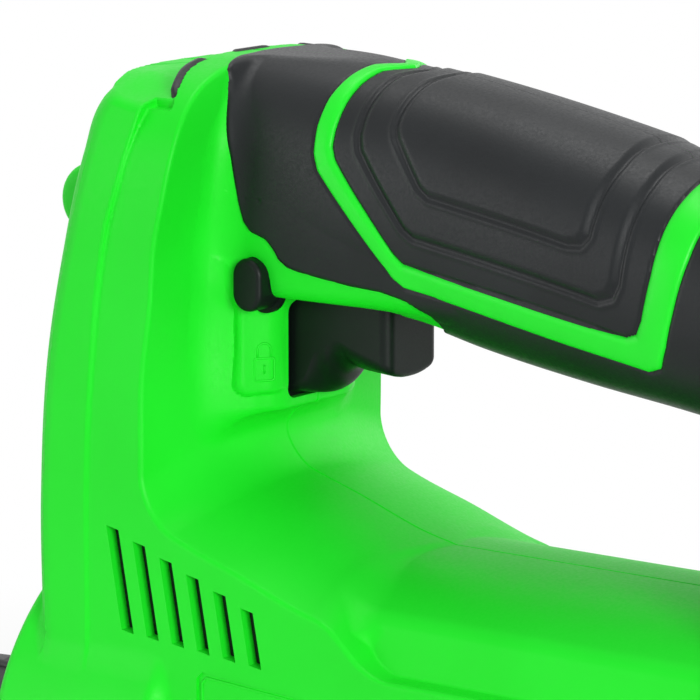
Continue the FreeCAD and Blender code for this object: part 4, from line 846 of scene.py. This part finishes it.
PADLOCK = [box_outline(4.2, 8.4, 164.9, 169.4, 0.5, 3),
           [(4.9, 169.4)] + arc(6.3, 171.0, 1.4, 180, 0) + [(7.7, 169.4)],
           [(6.3, 168.1), (6.3, 166.3)]]
LABEL_LINE = [(-57.6, 110.1), (-24.7, 108.2), (-24.0, 107.3), (-24.0, 98.7), (-25.0, 97.8), (-57.8, 97.8),
              (-58.8, 98.9), (-58.8, 109.0)]
FINGER_RIBS = [[(124.5, 64 + 7 * k), (151.5, 64 + 7 * k)] for k in range(7)]


def on_side(y):
    """Places flat points, x and z, on an upright side at y, with their height outwards from it."""
    def place(flat, up):
        return np.stack([flat[..., 0], y + np.sign(y) * up, flat[..., 1]], axis=-1)
    return place


grip_cell = 0.36
for side, half in ((-1, "left"), (1, "right")):
    keep(grip_half("grip_cover_" + half, side, grip_cell), "body", "black_rubber", "grip_" + half)
    keep(rib_half("grip_rib_" + half, side), "body", "green_plastic")
    mark = cord_of("padlock_mark_" + half, PADLOCK, 0.26, 0.2, on_pod_plate(side), loops=(0,))
    keep(mark, "body", "green_plastic")
    frame_line = cord_of("label_edge_" + half, [LABEL_LINE], 0.3, 0.28, on_side(side * LABEL_Y), loops=(0,))
    keep(frame_line, "body", "green_plastic")
    ribs = cord_of("battery_finger_ribs_" + half, FINGER_RIBS, 1.5, 0.8, on_side(side * CASE_Y))
    keep(ribs, "body", "black_plastic")
keep(whole_from_half("trigger_shaped", trigger_form, (-70, 0, 156), (-30, 12, 194), 0.5), "trigger",
     "black_plastic", "trigger")
# each spring with the joint that presses it, from its pressed end to the end that stays, its radius, its wire's
# radius and the share of its length that is left at the joint's limit
SPRINGS = (("trigger_spring", "trigger_pull", (-41, 0, 192), (-41, 0, 203), 4.2, 0.45, 0.62),
           ("lock_spring", "lock_push", (-60.5, -15.4, 185), (-60.5, -10.3, 185), 2.8, 0.3, 0.48),
           ("latch_spring", "latch_press", (120.3, 0, 163), (127.3, 0, 163), 3.3, 0.4, 0.55))
for name, joint, start, end, radius, wire, left in SPRINGS:
    keep(coil(name + "_coil", start, end, radius, wire, SPRING_TURNS), "body", "steel", name)
keep(hoop_seal("hoop_seal"), "body", "black_rubber")
keep(dial_disc("speed_dial_knurled"), "speed_dial", "black_plastic", "speed_dial")

for piece, body, slot, nodes in pieces.values():
    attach(piece, body)
    if nodes:
        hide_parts(*nodes)
for name, joint, start, end, radius, wire, left in SPRINGS:
    axis = np.sign(np.subtract(end, start)).tolist()
    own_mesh(pieces[name + "_coil"][0], joint, axis, [c * MM for c in end], left)


# ---------------------------------------------------------------- materials
def linear(hex_colour, alpha=1.0):
    """An sRGB hex colour as the linear values a shader takes."""
    parts = [int(hex_colour[k:k + 2], 16) / 255 for k in (1, 3, 5)]
    return tuple(c / 12.92 if c <= 0.04045 else ((c + 0.055) / 1.055) ** 2.4 for c in parts) + (alpha,)


def add(tree, kind, values=None, links=None, **settings):
    """Adds a node to the tree with its settings, its sockets' values and the links into it."""
    node = tree.nodes.new(kind)
    for key, value in settings.items():
        setattr(node, key, value)
    for key, value in (values or {}).items():
        node.inputs[key].default_value = value
    for key, source in (links or {}).items():
        tree.links.new(source, node.inputs[key])
    return node


def blank_tree(owner):
    """The node tree of a material or world, emptied."""
    owner.use_nodes = True
    owner.node_tree.nodes.clear()
    return owner.node_tree


def per_mm(size):
    """The scale of a noise pattern, in Object coordinates, whose features are about size millimetres."""
    return 1000.0 / size


def surface(name, light, dark, rough, cloud, grain, depth, stretch=(1, 1, 1), **shader):
    """A procedural material: two near colours clouded over `cloud` mm, roughness varied between the values of
    `rough`, and a bump of `grain` mm features, `depth` mm high. stretch pulls the grain out along an axis, as
    brushing does. The rest goes to the shader's own sockets."""
    material = bpy.data.materials.new(name)
    tree = blank_tree(material)
    place = add(tree, "ShaderNodeTexCoord").outputs["Object"]
    big = add(tree, "ShaderNodeTexNoise", {"Scale": per_mm(cloud), "Detail": 3.0}, {"Vector": place})
    drawn = add(tree, "ShaderNodeMapping", {"Scale": stretch}, {"Vector": place})
    fine = add(tree, "ShaderNodeTexNoise", {"Scale": per_mm(grain), "Detail": 2.0},
               {"Vector": drawn.outputs[0]})
    tone = add(tree, "ShaderNodeMapRange", {"From Min": 0.35, "From Max": 0.65}, {"Value": big.outputs["Fac"]})
    colour = add(tree, "ShaderNodeMix", {6: linear(dark), 7: linear(light)}, {0: tone.outputs[0]},
                 data_type="RGBA")
    gloss = add(tree, "ShaderNodeMapRange",
                {"From Min": 0.3, "From Max": 0.7, "To Min": rough[0], "To Max": rough[1]},
                {"Value": fine.outputs["Fac"]})
    bump = add(tree, "ShaderNodeBump", {"Strength": 1.0, "Distance": depth * MM},
               {"Height": fine.outputs["Fac"]})
    sockets = {"Base Color": colour.outputs[2], "Roughness": gloss.outputs[0], "Normal": bump.outputs[0]}
    principled = add(tree, "ShaderNodeBsdfPrincipled", shader, sockets)
    add(tree, "ShaderNodeOutputMaterial", None, {"Surface": principled.outputs[0]})
    return material


# ABS moulded in a fine spark-eroded tool: a satin skin, the colour even, with a faint unevenness in the gloss
shell_abs = surface("moulded_green_abs", "#1CE428", "#18DE23",
                    (0.42, 0.54), 45, 0.7, 0.010, **{"Specular IOR Level": 0.20, "IOR": 1.53})
# the same ABS in the rib, which hands and its own steam-polished tool leave a little glossier
rib_abs = surface("polished_green_abs", "#20E82D", "#1CE128",
                  (0.34, 0.46), 30, 0.9, 0.006, **{"Specular IOR Level": 0.24, "IOR": 1.53})
# TPE rubber moulded over the shell: dull and slightly pebbled, a cool black that greys where it is lit
grip_tpe = surface("overmoulded_tpe_rubber", "#171A1C", "#111416",
                   (0.36, 0.50), 18, 0.6, 0.018, **{"Specular IOR Level": 0.26, "IOR": 1.50})
# glass-filled nylon, moulded: dark, with fibres that cloud the gloss
nylon = surface("moulded_glass_filled_nylon", "#1C2022", "#16191B",
                (0.40, 0.55), 12, 0.5, 0.014, **{"Specular IOR Level": 0.25, "IOR": 1.54})
# acetal, moulded and handled: denser black with a soft waxy gloss
acetal = surface("moulded_black_acetal", "#101815", "#0C1310",
                 (0.36, 0.46), 15, 0.5, 0.008, **{"Specular IOR Level": 0.18, "IOR": 1.48})
# polypropylene of the blowing tube: a coarser matt grain over large plain walls
tube_pp = surface("grained_black_polypropylene", "#212425", "#1B1E1F",
                  (0.50, 0.64), 60, 0.9, 0.030, IOR=1.49)
# polycarbonate blend of the battery case: tough, lightly speckled grain
case_pc = surface("textured_battery_case_pc", "#1F2224", "#191C1E",
                  (0.44, 0.58), 25, 0.7, 0.022, IOR=1.58)
# solid natural rubber of the foot: dusty, nearly no gloss
foot_rubber = surface("solid_foot_rubber", "#1E1F20", "#171819",
                      (0.70, 0.84), 20, 0.8, 0.035, IOR=1.52)
# carbon steel screws, zinc plated: bluish grey, fine tumbling marks
zinc = surface("zinc_plated_steel", "#B9C0C4", "#9DA5AA",
               (0.26, 0.42), 4, 0.35, 0.004, Metallic=1.0)
# ground and polished shaft and bearing steel: lines run round the turned faces
ground = surface("ground_bearing_steel", "#C9CDCF", "#B2B7BA",
                 (0.16, 0.28), 8, 0.5, 0.002, stretch=(6, 0.6, 0.6), Metallic=1.0)
# drawn steel of the motor can, nickel plated: warm grey, drawn lines along its length
drawn_can = surface("nickel_plated_drawn_steel", "#BDB9AE", "#A7A296",
                    (0.22, 0.36), 14, 0.7, 0.003, stretch=(0.3, 3, 3), Metallic=1.0)
# stacked silicon steel and enamelled copper of the armature: brown orange metal, wound across
winding = surface("enamelled_copper_winding", "#B8693A", "#8C4A28",
                  (0.28, 0.42), 3, 0.6, 0.050, stretch=(0.5, 4, 4), Metallic=1.0)
# piano wire springs: darkened by heat
spring_wire = surface("tempered_spring_wire", "#8F9193", "#77797C",
                      (0.24, 0.38), 3, 0.3, 0.002, Metallic=1.0)
# nickel-plated cell cans under their sleeve: shrunk PVC, smooth
cell_sleeve = surface("shrunk_pvc_cell_sleeve", "#3E7FA8", "#356F95",
                      (0.22, 0.32), 22, 0.9, 0.004, IOR=1.54)
# sintered ferrite magnets: dark grey, granular, no gloss
ferrite = surface("sintered_ferrite", "#4A4A4C", "#3A3A3C", (0.62, 0.78), 5, 0.4, 0.012, IOR=1.8)
# epoxy glass board under green solder mask: the weave shows faintly through the gloss
board = surface("solder_masked_epoxy_glass", "#1F6B3A", "#175A30",
                (0.20, 0.34), 3, 0.5, 0.010, IOR=1.55)
# clear red acrylic light windows: smooth, light passes a little way in
lens = surface("red_acrylic_lens", "#D8231C", "#B81813", (0.08, 0.16), 6, 0.8, 0.001, IOR=1.49)
# silicone sleeve of the wires: soft, slightly dusty red
silicone = surface("silicone_wire_sleeve", "#C4312B", "#AD2722",
                   (0.48, 0.62), 9, 0.5, 0.006, IOR=1.41)

BY_SLOT = {"green_plastic": shell_abs, "black_rubber": grip_tpe, "black_plastic": nylon, "steel": zinc,
           "magnet": ferrite, "board_green": board, "red_lens": lens, "wire_red": silicone}
BY_PIECE = {name: look for look, names in (
    (tube_pp, "nozzle_tube nozzle_tip"), (case_pc, "battery_case_front battery_case_rear"),
    (foot_rubber, "foot_sole"), (acetal, "trigger_shaped speed_dial_knurled lock_button gauge_button"),
    (cell_sleeve, "battery_cells"), (drawn_can, "motor_can"), (winding, "motor_armature"),
    (ground, "motor_shaft front_bearing rear_bearing trigger_pin"),
    (spring_wire, "trigger_spring_coil lock_spring_coil latch_spring_coil"),
    (rib_abs, "grip_rib_left grip_rib_right")) for name in names.split()}
for name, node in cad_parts.items():
    for k, own in enumerate(node.data.materials):
        node.data.materials[k] = BY_PIECE.get(name) or BY_SLOT[own.name.split(".")[0]]
for name, (piece, body, slot, nodes) in pieces.items():
    piece.data.materials.clear()
    piece.data.materials.append(BY_PIECE.get(name) or BY_SLOT[slot])

# ---------------------------------------------------------------- floor, lights and camera
FLOOR_R = 620.0


def floor_disc(count=96):
    """A flat round floor just under the foot, one face with its points on a circle."""
    a = np.linspace(0, 2 * np.pi, count, endpoint=False)
    points = np.stack([FLOOR_R * np.cos(a), FLOOR_R * np.sin(a), np.full(count, -0.05)], axis=1)
    return mesh_piece("floor", points, np.arange(count)[None, :])


def seen_plainly(tree):
    """1 where a camera, a glossy or a transmission ray looks, 0 for the rays that carry light to the object."""
    ray = add(tree, "ShaderNodeLightPath").outputs
    seen = ray["Is Camera Ray"]
    for kind in ("Is Glossy Ray", "Is Transmission Ray"):
        seen = add(tree, "ShaderNodeMath", None, {0: seen, 1: ray[kind]}, operation="MAXIMUM").outputs[0]
    return seen


def paper_floor():
    """Matt white paper, pale and even: it takes the object's shadow and turns into the white background with
    distance, without throwing that white on the object."""
    paper = bpy.data.materials.new("matt_white_paper")
    tree = blank_tree(paper)
    place = add(tree, "ShaderNodeTexCoord").outputs["Object"]
    far = add(tree, "ShaderNodeVectorMath", None, {0: place}, operation="LENGTH")
    edge = add(tree, "ShaderNodeMapRange", {"From Min": 0.05, "From Max": 0.56, "To Min": 0.35},
               {"Value": far.outputs["Value"]})
    share = add(tree, "ShaderNodeMath", None, {0: edge.outputs[0], 1: seen_plainly(tree)}, operation="MULTIPLY")
    matt = add(tree, "ShaderNodeBsdfDiffuse", {"Color": linear("#F6F6F5"), "Roughness": 0.4})
    glow = add(tree, "ShaderNodeEmission", {"Color": (1, 1, 1, 1), "Strength": 1.0})
    both = add(tree, "ShaderNodeMixShader", None, {0: share.outputs[0], 1: matt.outputs[0], 2: glow.outputs[0]})
    add(tree, "ShaderNodeOutputMaterial", None, {"Surface": both.outputs[0]})
    return paper


def studio():
    """A room of faint cool light that looks white where it is seen."""
    world = bpy.data.worlds.new("studio")
    tree = blank_tree(world)
    fill = add(tree, "ShaderNodeBackground", {"Color": linear("#F4F6F8"), "Strength": 0.28})
    white = add(tree, "ShaderNodeBackground", {"Color": (1, 1, 1, 1), "Strength": 1.0})
    both = add(tree, "ShaderNodeMixShader", None,
               {0: seen_plainly(tree), 1: fill.outputs[0], 2: white.outputs[0]})
    add(tree, "ShaderNodeOutputWorld", None, {"Surface": both.outputs[0]})
    return world


floor = floor_disc()
floor.data.materials.append(paper_floor())
bpy.context.scene.world = studio()


def soft_light(name, place, power, size, aim=(-0.02, 0, 0.16)):
    """A square lamp that looks at the object's middle."""
    lamp = bpy.data.lights.new(name, "AREA")
    lamp.energy, lamp.size = power, size
    thing = bpy.data.objects.new(name, lamp)
    thing.location = place
    thing.rotation_euler = (Vector(aim) - Vector(place)).to_track_quat("-Z", "Y").to_euler()
    bpy.context.scene.collection.objects.link(thing)


soft_light("main_softbox", (1.05, -0.72, 0.42), 12.5, 0.45)
soft_light("front_softbox", (-0.9, -0.9, 0.35), 4.2, 0.8)
soft_light("top_softbox", (-0.1, 0.1, 1.2), 5.4, 0.7)
soft_light("rear_softbox", (0.2, 1.2, 0.5), 3.5, 0.8)

VIEW_MIDDLE = Vector((-0.037, -0.020, 0.1745))
VIEW_FROM = Vector((0.5917, -0.7853, 0.1822)).normalized()
VIEW_DISTANCE = 0.85
lens_data = bpy.data.cameras.new("camera")
lens_data.lens = 227
lens_data.sensor_width = 36
lens_data.clip_start = 0.01
camera = bpy.data.objects.new("camera", lens_data)
camera.location = VIEW_MIDDLE + VIEW_FROM * VIEW_DISTANCE
camera.rotation_euler = (-VIEW_FROM).to_track_quat("-Z", "Y").to_euler()
bpy.context.scene.collection.objects.link(camera)
bpy.context.scene.camera = camera
bpy.context.scene.view_settings.view_transform = "Standard"
